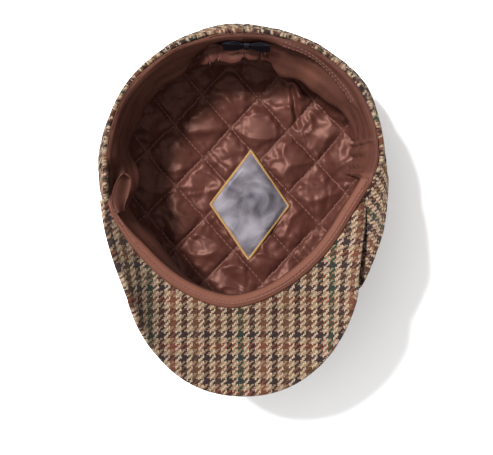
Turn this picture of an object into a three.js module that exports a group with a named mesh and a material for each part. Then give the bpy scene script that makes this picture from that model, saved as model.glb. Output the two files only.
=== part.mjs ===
// A baker boy cap in checked tweed, lying upside down on its crown.
//
// Millimetres. +Z points up, out of the head opening. +Y points to the back of the cap and the peak
// points to -Y. The origin is on the floor, below the middle of the cap.
import * as THREE from "three";

// ------------------------------------------------------------------ driving dimensions

const GAP = 0.3; // clearance between neighbouring pieces
const SEAM_GAP = 0.4; // clearance between two crown panels
const PANEL_COUNT = 8;
const PANEL_THICKNESS = 2.2;
const BAND_HEIGHT = 26; // from the crown's seam to the folded edge
const BAND_THICKNESS = 3;
const PEAK_THICKNESS = 3.6;
const PEAK_WING_ANGLE = THREE.MathUtils.degToRad(72); // how far round the opening each wing reaches
const SWEATBAND_THICKNESS = 1.2;
const SWEATBAND_DEPTH = 35;
const SWEATBAND_LEAN = 9; // how far its free edge stands further in than its seam
const SWEATBAND_IN = 1; // its outer face's clearance from the headband, at its seam
const SWEATBAND_BULGE = 0.85; // power of its lean's curve; 1 is a straight wall
const SWEATBAND_TOP = 0.4; // from the opening's edge down to its seam
const SWEATBAND_ROWS = 5;
const LINING_THICKNESS = 2;
const BUTTON_RADIUS = 9;
const BUTTON_THICKNESS = 2.4;
const LABEL_WIDTH = 59;
const LABEL_LENGTH = 82;
const LABEL_THICKNESS = 0.8;
const LABEL_CENTRE = new THREE.Vector2(4.5, 2.5);
const LABEL_TURN = THREE.MathUtils.degToRad(-1.2);
const LABEL_CELLS = 8; // facets along each side
const LABEL_RISE_REACH = 4; // how far past the crown's flat start the label still rises
const BOW_WIDTH = 33;
const BOW_HEIGHT = 11;
const BOW_PINCH = 0.5; // share of its height left at the knot
const BOW_THICKNESS = 3;
const BOW_DOWN = 10; // from the opening's edge to the bow's middle
const BOW_ANGLE = THREE.MathUtils.degToRad(1.7);
const BOW_SPREAD = { from: 0.05, to: 0.6 }; // shares of its half width between knot and full height
const BOW_EDGE = 0.35; // share of its thickness left along its rim
const BOW_END_POWER = 8; // how squarely its ends are rounded
const BOW_COLUMNS = 12;
const BOW_ROWS = 6;

// Each oval below is a plan outline, symmetric about the cap's middle line: its half width, its
// reach from the centre line to the back and to the front, the powers that square its two halves,
// and the heights of its two ends. A power of 2 is an ellipse.

// The inner edge of the head opening. Its front half sits a little to one side.
const OPENING = {
  halfWidth: 91.5, centreY: 35, back: 83.5, front: 101.5,
  backPower: 2.07, frontPower: 1.7, backZ: 74, frontZ: 88, frontShift: -7.9,
};
const SHIFT_SPAN = 0.42; // share of the front reach over which the sideways shift grows

// The crown's outside, a row for each level from the middle of the crown to the band.
const CROWN_LEVELS = [
  { name: "tip", halfWidth: 2, centreY: 15, back: 2, front: 2,
    backPower: 2, frontPower: 2, backZ: 2.7, frontZ: 2.7 },
  { name: "button edge", halfWidth: 11, centreY: 15, back: 11, front: 11,
    backPower: 2, frontPower: 2, backZ: 2.7, frontZ: 2.7 },
  { name: "flat start", halfWidth: 24, centreY: 15, back: 24, front: 24,
    backPower: 2, frontPower: 2, backZ: 0, frontZ: 0 },
  { name: "flat end", halfWidth: 62, centreY: 16, back: 66, front: 76,
    backPower: 2.05, frontPower: 2, backZ: 0, frontZ: 0 },
  { name: "turn", halfWidth: 86, centreY: 18, back: 91, front: 110,
    backPower: 2.1, frontPower: 1.97, backZ: 9, frontZ: 10 },
  { name: "side", halfWidth: 98.5, centreY: 21, back: 103.5, front: 128,
    backPower: 2.18, frontPower: 1.95, backZ: 25, frontZ: 28 },
  { name: "bulge", halfWidth: 102, centreY: 24, back: 105, front: 134,
    backPower: 2.2, frontPower: 1.95, backZ: 40, frontZ: 46 },
];
// How far along the way from the middle to the band the crown's rows of facets lie.
const CROWN_STEPS = [0, 0.09, 0.15, 0.22, 0.29, 0.428, 0.5, 0.57, 0.65, 0.73, 0.81, 0.88, 0.94, 1];
const PANEL_COLUMNS = 6;
const BAND_COLUMNS = 56; // facets round the headband and the sweatband
const SLOPE_STEP = 1e-3; // step, in turns or levels, over which a surface's slope is measured
const COLLAR_OUT = 4.4; // from the opening's inner edge to the outside of the crown's last row
const COLLAR = {
  ...OPENING,
  halfWidth: OPENING.halfWidth + COLLAR_OUT,
  back: OPENING.back + COLLAR_OUT,
  front: OPENING.front + COLLAR_OUT,
  backZ: OPENING.backZ - BAND_HEIGHT - GAP,
  frontZ: OPENING.frontZ - BAND_HEIGHT - GAP,
};

// Sections swept round the opening, from the lower edge to the upper one: distance out from the
// opening's inner edge, and depth below it.
const HEADBAND_SECTION = [
  { name: "seam", out: 4.1, down: BAND_HEIGHT },
  { name: "middle", out: 4.3, down: BAND_HEIGHT * 0.6 },
  { name: "upper", out: 3.6, down: BAND_HEIGHT * 0.2 },
  { name: "fold", out: 2.7, down: 1.2 },
];

// The peak's outer edge: the front of an oval, then curved sides that bend up and run back to the
// band. The sides bend through the point at `bendY`, which sits a little to one side.
const PEAK_FRONT = {
  halfWidth: 79.5, centreY: -30, back: 98, front: 98,
  backPower: 2.15, frontPower: 2.15, backZ: 105, frontZ: 93,
};
const PEAK_FRONT_ANGLE = THREE.MathUtils.degToRad(81);
const PEAK_SIDE = { frontShare: 0.7, bendHalfWidth: 87.7, bendShift: -6.2, bendY: -22, endOut: 4.5 };
const PEAK_DISH = 2.5; // how far the middle of the peak sags below a straight line to its edge
const PEAK_COLUMNS = 36;
const PEAK_ROWS = [0, 0.12, 0.3, 0.5, 0.7, 0.88, 1]; // from the band to the outer edge
const PEAK_EDGE = 0.6; // share of the peak's thickness left at its edges
const PRESSED = { fully: 0.9, none: 1.15 }; // shares of the wing angle where the peak presses the band

// The button's section, from its outer face on the floor to its inner face.
const BUTTON_SECTION = [
  { name: "floor", inset: BUTTON_RADIUS, height: 0 },
  { name: "floor edge", inset: 1.2, height: 0 },
  { name: "rim", inset: 0, height: 0.9 },
  { name: "inner edge", inset: 0.4, height: BUTTON_THICKNESS - 0.3 },
  { name: "inner rim", inset: 1.6, height: BUTTON_THICKNESS },
  { name: "middle", inset: BUTTON_RADIUS, height: BUTTON_THICKNESS },
];
const BUTTON_FACETS = 32;

const COLOURS = {
  tweed: 0x8a7058, satin: 0x71483e, label: 0x88808a, ribbon: 0x211e21,
};

// ------------------------------------------------------------------ curves

const lerp = THREE.MathUtils.lerp;

/** Evenly spaced numbers from one value to another, both ends included. */
const spaced = (from, to, steps) =>
  Array.from({ length: steps + 1 }, (_, i) => lerp(from, to, i / steps));

/** The point of an oval at an angle from the back, clockwise from above, `grow` outside it. */
function ovalPoint(oval, angle, grow = 0) {
  const [across, along] = [Math.sin(angle), Math.cos(angle)];
  const [reach, power] = along > 0 ? [oval.back, oval.backPower] : [oval.front, oval.frontPower];
  const radius =
    (Math.abs(across / (oval.halfWidth + grow)) ** power + Math.abs(along / (reach + grow)) ** power) **
    (-1 / power);
  const y = oval.centreY + along * radius;
  const shifted = THREE.MathUtils.smoothstep(oval.centreY - y, 0, SHIFT_SPAN * oval.front);
  const towardsFront = (oval.centreY + oval.back - y) / (oval.back + oval.front);
  return new THREE.Vector3(
    across * radius + (oval.frontShift ?? 0) * shifted,
    y,
    lerp(oval.backZ, oval.frontZ, towardsFront),
  );
}

/** Evenly spaced angles all the way round, the first at the back. */
const aroundOpening = (columns) => spaced(0, 2 * Math.PI, columns).slice(0, columns);

/** The crown's outer surface. `level` runs from 0 at the middle to 1 at the band. */
function crownPoint(angle, level) {
  const profile = new THREE.CatmullRomCurve3(
    [...CROWN_LEVELS, COLLAR].map((oval) => ovalPoint(oval, angle)),
    false,
    "centripetal",
  );
  const point = profile.getPoint(level);
  point.z = Math.max(point.z, 0);
  return point;
}

/** How far the headband is pressed down under the peak, from 0 at the back to 1 at the front. */
function underPeak(angle) {
  const fromFront = Math.abs(angle - Math.PI);
  const share = fromFront / PEAK_WING_ANGLE;
  return 1 - THREE.MathUtils.smoothstep(share, PRESSED.fully, PRESSED.none);
}

/** How far out the sweatband's outer face lies at a depth below the opening's edge. */
const sweatbandOut = (down) =>
  -SWEATBAND_IN - SWEATBAND_LEAN * (down / SWEATBAND_DEPTH) ** SWEATBAND_BULGE;

/** The front of the peak's outer edge, at an angle either side of the tip. */
function peakFront(angle) {
  const point = ovalPoint(PEAK_FRONT, Math.PI - angle);
  point.z = lerp(PEAK_FRONT.frontZ, PEAK_FRONT.backZ, Math.sin(angle) ** 2);
  return point;
}

/** The peak's outer edge. `share` runs from -1 at one wing to 1 at the other. */
function peakEdge(share) {
  const { frontShare, bendHalfWidth, bendShift, bendY, endOut } = PEAK_SIDE;
  if (Math.abs(share) <= frontShare) {
    return peakFront((share / frontShare) * PEAK_FRONT_ANGLE);
  }
  const side = Math.sign(share);
  const start = peakFront(side * PEAK_FRONT_ANGLE);
  const bend = new THREE.Vector3(side * bendHalfWidth + bendShift, bendY, start.z);
  const end = ovalPoint(OPENING, Math.PI - side * PEAK_WING_ANGLE, endOut);
  const alongSide = (Math.abs(share) - frontShare) / (1 - frontShare);
  return new THREE.QuadraticBezierCurve3(start, bend, end).getPoint(alongSide);
}

/** The peak's face that shows inside the cap. `out` runs from 0 at the band to 1 at the edge. */
function peakPoint(share, out) {
  const root = ovalPoint(OPENING, Math.PI - share * PEAK_WING_ANGLE, GAP);
  const point = root.lerp(peakEdge(share), out);
  point.z -= PEAK_DISH * 4 * out * (1 - out) * (1 - share ** 2);
  return point;
}

// ------------------------------------------------------------------ solids

/** A closed mesh from points and triangles, turned to face outwards. */
function closedMesh(name, points, faces, colour, roughness = 0.9) {
  const positions = new THREE.Float32BufferAttribute(points.flatMap((p) => p.toArray()), 3);
  const volume = faces.reduce(
    (sum, [a, b, c]) => sum + points[a].dot(new THREE.Vector3().crossVectors(points[b], points[c])),
    0,
  );
  const outward = volume < 0 ? faces.map(([a, b, c]) => [a, c, b]) : faces;
  const geometry = new THREE.BufferGeometry();
  geometry.setAttribute("position", positions);
  geometry.setIndex(outward.flat());
  geometry.computeVertexNormals();
  const material = new THREE.MeshStandardMaterial({ color: colour, roughness, metalness: 0 });
  const mesh = new THREE.Mesh(geometry, material);
  mesh.name = name;
  return mesh;
}

/** The triangles of a grid of `columns` by `rows` points, optionally closed round the columns. */
function gridFaces(columns, rows, first, closed) {
  const faces = [];
  for (let i = 0; i < (closed ? columns : columns - 1); i += 1) {
    for (let j = 0; j < rows - 1; j += 1) {
      const a = first + i * rows + j;
      const b = first + ((i + 1) % columns) * rows + j;
      faces.push([a, b, b + 1], [a, b + 1, a + 1]);
    }
  }
  return faces;
}

/** A strip of triangles between two chains of point numbers of the same length. */
function stripFaces(one, other) {
  const faces = [];
  for (let i = 0; i < one.length - 1; i += 1) {
    faces.push([one[i], other[i], other[i + 1]], [one[i], other[i + 1], one[i + 1]]);
  }
  return faces;
}

/** The triangles from one point to a chain of points. */
function fanFaces(centre, chain) {
  return chain.slice(1).map((point, i) => [centre, chain[i], point]);
}

/**
 * A wall between two grids of points, each a list of columns. An open wall has four edges. A ring
 * runs all the way round and has a lower and an upper edge. A bowl is a ring whose lower end is
 * closed over, at the middle of its lowest points.
 */
function wall(name, front, back, colour, { form = "open", roughness = 0.9 } = {}) {
  const columns = front.length;
  const rows = front[0].length;
  const count = columns * rows;
  const closed = form !== "open";
  const across = (row) => front.map((_, i) => i * rows + row);
  const behind = (chain) => chain.map((i) => i + count);
  const lower = across(0);
  const upper = across(rows - 1);
  if (closed) {
    lower.push(lower[0]);
    upper.push(upper[0]);
  }
  const points = [...front, ...back].flat();
  const faces = [
    ...gridFaces(columns, rows, 0, closed),
    ...gridFaces(columns, rows, count, closed).map(([a, b, c]) => [a, c, b]),
    ...stripFaces(behind(upper), upper),
  ];
  if (form === "bowl") {
    const middle = (grid) =>
      grid.reduce((sum, column) => sum.add(column[0]), new THREE.Vector3()).divideScalar(columns);
    points.push(middle(front), middle(back));
    faces.push(...fanFaces(2 * count, lower.toReversed()), ...fanFaces(2 * count + 1, behind(lower)));
  } else {
    faces.push(...stripFaces(lower, behind(lower)));
  }
  if (!closed) {
    const first = front[0].map((_, j) => j);
    const last = first.map((j) => j + (columns - 1) * rows);
    faces.push(...stripFaces(behind(first), first), ...stripFaces(last, behind(last)));
  }
  return closedMesh(name, points, faces, colour, roughness);
}

/** A point moved along a surface's normal, found from the surface's own slope. */
function offsetPoint(surface, u, v, distance) {
  const vLow = Math.max(v - SLOPE_STEP, 0);
  const vHigh = Math.min(v + SLOPE_STEP, 1);
  const alongU = surface(u + SLOPE_STEP, v).sub(surface(u - SLOPE_STEP, v));
  const alongV = surface(u, vHigh).sub(surface(u, vLow));
  const normal = alongU.cross(alongV).normalize();
  return surface(u, v).addScaledVector(normal, distance);
}

// ------------------------------------------------------------------ pieces

/** The turn that moves a point of the crown half a gap away from a seam. */
function seamInset(seam, level) {
  const before = crownPoint(seam - SLOPE_STEP, level);
  const after = crownPoint(seam + SLOPE_STEP, level);
  const speed = after.distanceTo(before) / (2 * SLOPE_STEP);
  return SEAM_GAP / 2 / speed;
}

/** One crown panel, a gore from the middle of the crown to the band. */
function crownPanel(index) {
  const width = (2 * Math.PI) / PANEL_COUNT;
  const [from, to] = [width * index, width * (index + 1)];
  const face = (distance) =>
    spaced(0, 1, PANEL_COLUMNS).map((share) =>
      CROWN_STEPS.map((level) => {
        const angle = lerp(from + seamInset(from, level), to - seamInset(to, level), share);
        return offsetPoint(crownPoint, angle, level, distance);
      }),
    );
  return wall(`crown_panel_${index + 1}`, face(0), face(PANEL_THICKNESS), COLOURS.tweed);
}

/** The covered button, a thin flat disc under the panel tips. */
function button() {
  const profile = BUTTON_SECTION.map(
    ({ inset, height }) => new THREE.Vector2(BUTTON_RADIUS - inset, height),
  );
  const geometry = new THREE.LatheGeometry(profile, BUTTON_FACETS);
  geometry.rotateX(Math.PI / 2);
  geometry.translate(0, CROWN_LEVELS[0].centreY, 0);
  const material = new THREE.MeshStandardMaterial({ color: COLOURS.tweed, roughness: 0.9 });
  const mesh = new THREE.Mesh(geometry, material);
  mesh.name = "button";
  return mesh;
}

/** A band of cloth swept round the opening, thickened towards its inside. */
function sweptBand(name, section, thickness, colour, roughness, topDrop) {
  const path = section.map(({ out, down }) => new THREE.Vector2(out, -down));
  const normals = path.map((_, i) => {
    const along = path[Math.min(i + 1, path.length - 1)].clone().sub(path[Math.max(i - 1, 0)]);
    return new THREE.Vector2(-along.y, along.x).normalize();
  });
  const height = section[0].down - section.at(-1).down;
  const face = (distance) =>
    aroundOpening(BAND_COLUMNS).map((angle) =>
      path.map((p, i) => {
        const { x, y } = p.clone().addScaledVector(normals[i], distance);
        const point = ovalPoint(OPENING, angle, x);
        const level = ovalPoint(OPENING, angle).z;
        const fromFreeEdge = (section[0].down - section[i].down) / height;
        point.z = level + y - topDrop(angle) * fromFreeEdge;
        return point;
      }),
    );
  return wall(name, face(0), face(thickness), colour, { form: "ring", roughness });
}

/** The peak, a bent crescent that lies on the headband's front. */
function peak() {
  const face = (depth) =>
    spaced(-1, 1, PEAK_COLUMNS).map((share) =>
      PEAK_ROWS.map((out) => {
        const atEdge = out === 0 || out === 1;
        const point = peakPoint(share, out);
        point.z -= lerp(PEAK_THICKNESS / 2, depth, atEdge ? PEAK_EDGE : 1);
        return point;
      }),
    );
  return wall("peak", face(0), face(PEAK_THICKNESS), COLOURS.tweed);
}

/** The quilted lining, a bowl just inside the crown panels. */
function lining() {
  const columns = PANEL_COUNT * PANEL_COLUMNS;
  const outside = PANEL_THICKNESS + GAP;
  const face = (distance) =>
    aroundOpening(columns).map((angle) =>
      CROWN_STEPS.slice(0, -1).map((level) => offsetPoint(crownPoint, angle, level, distance)),
    );
  return wall("lining", face(outside), face(outside + LINING_THICKNESS), COLOURS.satin, {
    form: "bowl",
    roughness: 0.4,
  });
}

/** The label, a thin diamond of cloth that lies on the lining's floor. */
function label() {
  const rest = PANEL_THICKNESS + LINING_THICKNESS + 3 * GAP;
  const [tip, buttonEdge, flatStart] = CROWN_LEVELS;
  const face = (height) =>
    spaced(-1, 1, LABEL_CELLS).map((p) =>
      spaced(-1, 1, LABEL_CELLS).map((q) => {
        const flat = new THREE.Vector2(((p - q) * LABEL_WIDTH) / 4, ((p + q) * LABEL_LENGTH) / 4)
          .add(LABEL_CENTRE)
          .rotateAround(LABEL_CENTRE, LABEL_TURN);
        const fromTip = Math.hypot(flat.x, flat.y - tip.centreY);
        const riseEnd = flatStart.halfWidth + LABEL_RISE_REACH;
        const overButton = 1 - THREE.MathUtils.smoothstep(fromTip, buttonEdge.halfWidth, riseEnd);
        return new THREE.Vector3(flat.x, flat.y, rest + tip.backZ * overButton + height);
      }),
    );
  return wall("label", face(0), face(LABEL_THICKNESS), COLOURS.label, { roughness: 0.45 });
}

/** The ribbon bow, two flat loops pinched in the middle, on the sweatband at the back. */
function backBow() {
  const face = (lift) =>
    spaced(-1, 1, BOW_COLUMNS).map((across) => {
      const spread = THREE.MathUtils.smoothstep(Math.abs(across), BOW_SPREAD.from, BOW_SPREAD.to);
      const height = BOW_HEIGHT * lerp(BOW_PINCH, 1, spread);
      return spaced(-1, 1, BOW_ROWS).map((up) => {
        const down = BOW_DOWN - (up * height) / 2;
        const rounding = Math.sqrt(1 - up ** 2) * Math.sqrt(1 - across ** BOW_END_POWER);
        const puff = lerp(BOW_EDGE, 1, rounding);
        const out = sweatbandOut(down) - SWEATBAND_THICKNESS - 2 * GAP - lift * puff;
        const angle = BOW_ANGLE + (across * BOW_WIDTH) / 2 / OPENING.back;
        const point = ovalPoint(OPENING, angle, out);
        point.z = ovalPoint(OPENING, angle).z - down;
        return point;
      });
    });
  return wall("back_bow", face(0), face(BOW_THICKNESS), COLOURS.ribbon, { roughness: 0.6 });
}

const sweatbandSection = spaced(SWEATBAND_DEPTH, SWEATBAND_TOP, SWEATBAND_ROWS).map((down) => ({
  out: sweatbandOut(down),
  down,
}));
const pressedUnderPeak = (angle) => (PEAK_THICKNESS + GAP) * underPeak(angle);

const cap = new THREE.Group();
for (let i = 0; i < PANEL_COUNT; i += 1) {
  cap.add(crownPanel(i));
}
cap.add(
  button(),
  sweptBand("headband", HEADBAND_SECTION, BAND_THICKNESS, COLOURS.tweed, 0.9, pressedUnderPeak),
  peak(),
  sweptBand("sweatband", sweatbandSection, SWEATBAND_THICKNESS, COLOURS.satin, 0.5, () => 0),
  lining(),
  label(),
  backBow(),
);

export default cap;
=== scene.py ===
"""Looks of a checked tweed baker boy cap that lies upside down on its crown.

Metres. +Z points up, out of the head opening. +Y points to the back of the cap and the peak
points to -Y. Each sub-assembly is a class with its sizes as fields, and each finish is a class
that makes one material. The crown's, the peak's and the bands' shapes follow the same ovals and
levels as the cap's solids, and the lining's puckers come from a cloth simulation.
"""

import logging
import math
from dataclasses import dataclass, replace
from enum import Enum
from functools import cached_property
from typing import Sequence

import bpy
import numpy as np
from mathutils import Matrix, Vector
from mathutils.bvhtree import BVHTree


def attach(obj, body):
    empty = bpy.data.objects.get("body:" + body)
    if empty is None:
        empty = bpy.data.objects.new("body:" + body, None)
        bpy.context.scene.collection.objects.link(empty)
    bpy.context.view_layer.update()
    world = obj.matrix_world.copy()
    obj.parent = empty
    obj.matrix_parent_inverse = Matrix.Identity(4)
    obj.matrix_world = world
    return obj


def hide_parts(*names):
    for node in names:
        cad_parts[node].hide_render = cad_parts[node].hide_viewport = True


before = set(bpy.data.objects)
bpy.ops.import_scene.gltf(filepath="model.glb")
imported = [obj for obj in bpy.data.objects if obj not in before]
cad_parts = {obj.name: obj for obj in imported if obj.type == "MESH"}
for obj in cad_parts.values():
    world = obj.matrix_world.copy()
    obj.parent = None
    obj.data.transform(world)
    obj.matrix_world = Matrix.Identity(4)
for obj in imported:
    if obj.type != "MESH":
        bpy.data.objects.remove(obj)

MM = 0.001
PANEL_COUNT = 8
GAP = 0.3 * MM
Array = np.ndarray
Material = bpy.types.Material
Node = bpy.types.Node
Pair = tuple[float, float]
Piece = bpy.types.Object
Socket = bpy.types.NodeSocket
Sockets = bpy.types.bpy_prop_collection
Tree = bpy.types.NodeTree
log = logging.getLogger("cap")


# ---- numbers and curves


def smoothstep(value: Array, low: float, high: float) -> Array:
    """A value's share of the way from low to high, eased at both ends."""
    share = np.clip((np.asarray(value, float) - low) / (high - low), 0, 1)
    return share * share * (3 - 2 * share)


def window(value: Array, low: float, high: float, ease: float) -> Array:
    """1 between two values and 0 outside them, eased over a length at each end."""
    rise = smoothstep(value, low - ease / 2, low + ease / 2)
    return rise * (1 - smoothstep(value, high - ease / 2, high + ease / 2))


def lerp(low: Array, high: Array, share: Array) -> Array:
    """The value a share of the way from low to high."""
    return low + (high - low) * share


def unit(vectors: Array) -> Array:
    """Vectors of length one, along the last axis."""
    return vectors / np.maximum(np.linalg.norm(vectors, axis=-1, keepdims=True), 1e-12)


def linear(hex_colour: str) -> tuple[float, float, float, float]:
    """An sRGB colour as the linear one that a shader needs.

    Args:
        hex_colour: six hexadecimal digits.

    Returns:
        Red, green, blue and a full alpha.
    """
    parts = [int(hex_colour[i : i + 2], 16) / 255 for i in (0, 2, 4)]
    low_slope, low_end, power, offset = 12.92, 0.04045, 2.4, 0.055
    curve = [
        part / low_slope if part <= low_end else ((part + offset) / (1 + offset)) ** power
        for part in parts
    ]
    return (*curve, 1.0)


def catmull_rom(rows: Array, level: Array) -> Array:
    """Points on centripetal Catmull-Rom curves, one curve for each column of control points.

    Args:
        rows: control points, shaped (rows, n, 3).
        level: how far along its curve each point lies, shaped (n,), from 0 to 1.

    Returns:
        The points, shaped (n, 3).
    """
    last = len(rows) - 1
    along = np.clip(level, 0, 1) * last
    segment = np.minimum(along.astype(int), last - 1)
    weight = (along - segment)[:, None]
    column = np.arange(rows.shape[1])
    before = 2 * rows[0] - rows[1]
    after = 2 * rows[-1] - rows[-2]
    padded = np.concatenate([before[None], rows, after[None]])
    p0, p1, p2, p3 = (padded[segment + k, column] for k in range(4))
    d0, d1, d2 = (
        np.maximum(np.linalg.norm(b - a, axis=1, keepdims=True), 1e-9) ** 0.5
        for a, b in ((p0, p1), (p1, p2), (p2, p3))
    )
    t1 = ((p1 - p0) / d0 - (p2 - p0) / (d0 + d1) + (p2 - p1) / d1) * d1
    t2 = ((p2 - p1) / d1 - (p3 - p1) / (d1 + d2) + (p3 - p2) / d2) * d1
    square, cube = weight**2, weight**3
    return (
        (2 * cube - 3 * square + 1) * p1
        + (cube - 2 * square + weight) * t1
        + (3 * square - 2 * cube) * p2
        + (cube - square) * t2
    )


def smooth_line(points: Array, count: int) -> Array:
    """A smooth curve through a few points, as evenly numbered points."""
    rows = np.repeat(points[:, None, :], count, axis=1)
    return catmull_rom(rows, np.linspace(0, 1, count))


@dataclass(frozen=True)
class Ripple:
    """Soft uneven waves, a sum of sines whose directions and phases come from a seed."""

    wavelength: float
    seed: int
    stretch: float = 1.0  # how many times longer the waves are along the second axis
    count: int = 9

    def __call__(self, across: Array, along: Array) -> Array:
        """Heights from about -1 to 1 at places given by two lengths in metres."""
        random = np.random.default_rng(self.seed)
        height = 0.0
        for _ in range(self.count):
            heading, phase = random.uniform(0, math.pi), random.uniform(0, 2 * math.pi)
            size = self.wavelength * random.uniform(0.7, 1.6)
            run = across * math.cos(heading) + along / self.stretch * math.sin(heading)
            height = height + np.sin(2 * math.pi * run / size + phase)
        return height / math.sqrt(self.count)


# ---- the cap's shape


@dataclass(frozen=True)
class Oval:
    """A plan outline: half width, reach from its centre line to the back and to the front, the
    powers that square its two halves, the heights of its two ends, and a sideways shift that
    its front half takes."""

    half_width: float
    centre_y: float
    back: float
    front: float
    back_power: float
    front_power: float
    back_z: float
    front_z: float
    front_shift: float = 0.0
    shift_span: float = 0.42

    def point(self, angle: Array, grow: Array = 0.0) -> Array:
        """Points of the oval.

        Args:
            angle: angles from the back, clockwise from above.
            grow: how far outside the oval each point lies.

        Returns:
            The points, with the angle's shape and a last axis of three.
        """
        across, along = np.sin(angle), np.cos(angle)
        at_back = along > 0
        reach = np.where(at_back, self.back, self.front) + grow
        power = np.where(at_back, self.back_power, self.front_power)
        wide = np.abs(across / (self.half_width + grow)) ** power
        radius = (wide + np.abs(along / reach) ** power) ** (-1 / power)
        y = self.centre_y + along * radius
        shifted = smoothstep(self.centre_y - y, 0, self.shift_span * self.front)
        to_front = (self.centre_y + self.back - y) / (self.back + self.front)
        z = lerp(self.back_z, self.front_z, to_front)
        return np.stack([across * radius + self.front_shift * shifted, y, z], axis=-1)


def oval_mm(*sizes: float, front_shift: float = 0.0) -> Oval:
    """An oval from sizes in millimetres, in the order of its fields; its powers have no unit."""
    half_width, centre_y, back, front, back_power, front_power, back_z, front_z = sizes
    lengths = [size * MM for size in (half_width, centre_y, back, front)]
    heights = [back_z * MM, front_z * MM]
    return Oval(*lengths, back_power, front_power, *heights, front_shift * MM)


OPENING = oval_mm(91.5, 35, 83.5, 101.5, 2.07, 1.7, 74, 88, front_shift=-7.9)
BAND_HEIGHT = 26 * MM
COLLAR_OUT = 4.4 * MM
COLLAR = replace(
    OPENING,
    half_width=OPENING.half_width + COLLAR_OUT,
    back=OPENING.back + COLLAR_OUT,
    front=OPENING.front + COLLAR_OUT,
    back_z=OPENING.back_z - BAND_HEIGHT - GAP,
    front_z=OPENING.front_z - BAND_HEIGHT - GAP,
)

# The crown's outside, a row for each level from the middle of the crown to the band: half width,
# centre, reach to the back and front, the two powers, and the heights of the back and front.
CROWN_LEVELS = [
    oval_mm(2, 15, 2, 2, 2, 2, 2.7, 2.7),  # tip
    oval_mm(11, 15, 11, 11, 2, 2, 2.7, 2.7),  # button's edge
    oval_mm(24, 15, 24, 24, 2, 2, 0, 0),  # start of the flat that rests on the floor
    oval_mm(62, 16, 66, 76, 2.05, 2, 0, 0),  # end of that flat
    oval_mm(86, 18, 91, 110, 2.1, 1.97, 9, 10),  # turn
    oval_mm(98.5, 21, 103.5, 128, 2.18, 1.95, 25, 28),  # side
    oval_mm(102, 24, 105, 134, 2.2, 1.95, 40, 46),  # bulge
    COLLAR,
]
CROWN_CENTRE = np.array([0.0, CROWN_LEVELS[0].centre_y])
PANEL_THICKNESS = 2.2 * MM
LINING_THICKNESS = 2 * MM
SLOPE_STEP = 1e-3  # half the span, as an angle and a level, that a slope is measured over


def crown_point(angle: Array, level: Array) -> Array:
    """Points of the crown's outer surface.

    Args:
        angle: angles from the back, clockwise from above, shaped (n,).
        level: from 0 at the middle of the crown to 1 at the band, shaped (n,).

    Returns:
        The points, shaped (n, 3).
    """
    rows = np.stack([oval.point(angle) for oval in CROWN_LEVELS])
    point = catmull_rom(rows, level)
    point[:, 2] = np.maximum(point[:, 2], 0)
    return point


def crown_normal(angle: Array, level: Array) -> Array:
    """Directions into the cap, square to the crown's surface, for the same places."""
    low, high = np.clip(level - SLOPE_STEP, 0, 1), np.clip(level + SLOPE_STEP, 0, 1)
    along_turn = crown_point(angle + SLOPE_STEP, level) - crown_point(angle - SLOPE_STEP, level)
    along_level = crown_point(angle, high) - crown_point(angle, low)
    return unit(np.cross(along_turn, along_level))


@dataclass(frozen=True)
class PeakShape:
    """The peak's plan and its bent surface."""

    front: Oval = oval_mm(76, -30, 98, 98, 2.2, 2.2, 105, 93)
    front_angle: float = math.radians(66)
    wing_angle: float = math.radians(72)
    front_share: float = 0.7
    bend_half_width: float = 85.2 * MM
    bend_shift: float = -3.7 * MM
    bend_y: float = -22 * MM
    end_out: Pair = (6.5 * MM, 4.5 * MM)  # left and right
    dish: float = 2.5 * MM

    def front_edge(self, angle: Array) -> Array:
        """The front of the outer edge, at angles either side of the tip."""
        point = self.front.point(math.pi - angle)
        point[..., 2] = lerp(self.front.front_z, self.front.back_z, np.sin(angle) ** 2)
        return point

    def edge(self, share: Array) -> Array:
        """The outer edge, from a share of -1 at one wing to 1 at the other."""
        side = np.where(share < 0, -1.0, 1.0)
        in_front = np.clip(share / self.front_share, -1, 1)
        front = self.front_edge(in_front * self.front_angle)
        start = self.front_edge(side * self.front_angle)
        x = side * self.bend_half_width + self.bend_shift
        bend = np.stack([x, np.full_like(x, self.bend_y), start[..., 2]], axis=-1)
        end_out = np.where(share < 0, *self.end_out)
        end = OPENING.point(math.pi - side * self.wing_angle, end_out)
        t = np.clip((np.abs(share) - self.front_share) / (1 - self.front_share), 0, 1)[..., None]
        sides = (1 - t) ** 2 * start + 2 * t * (1 - t) * bend + t**2 * end
        return np.where((np.abs(share) <= self.front_share)[..., None], front, sides)

    def point(self, share: Array, out: Array) -> Array:
        """The upper face, `out` running from 0 at the band to 1 at the outer edge."""
        root = OPENING.point(math.pi - share * self.wing_angle, GAP)
        point = lerp(root, self.edge(share), out[..., None])
        point[..., 2] -= self.dish * 4 * out * (1 - out) * (1 - share**2)
        return point


PEAK = PeakShape()


# ---- meshes


class Layers(Enum):
    """How a sheet of cloth is closed round its rim."""

    OPEN = "four edges"
    RING = "all the way round, with an upper and a lower edge"


def ordered_outwards(points: Array, faces: list[tuple[int, ...]]) -> list[tuple[int, ...]]:
    """A closed body's faces, turned to point out if they point in."""
    volume = 0.0
    for face in faces:
        a, b, c = points[face[0]], points[face[1]], points[face[2]]
        volume += float(np.dot(a, np.cross(b, c)))
        if len(face) == 4:
            d = points[face[3]]
            volume += float(np.dot(a, np.cross(c, d)))
    return faces if volume > 0 else [tuple(reversed(face)) for face in faces]


def grid_faces(columns: int, rows: int, first: int, layers: Layers) -> list[tuple[int, ...]]:
    """The quads of a grid of points, numbered from `first`, a column at a time."""
    faces = []
    spans = columns if layers is Layers.RING else columns - 1
    for i in range(spans):
        for j in range(rows - 1):
            a, b = first + i * rows + j, first + ((i + 1) % columns) * rows + j
            faces.append((a, b, b + 1, a + 1))
    return faces


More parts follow.
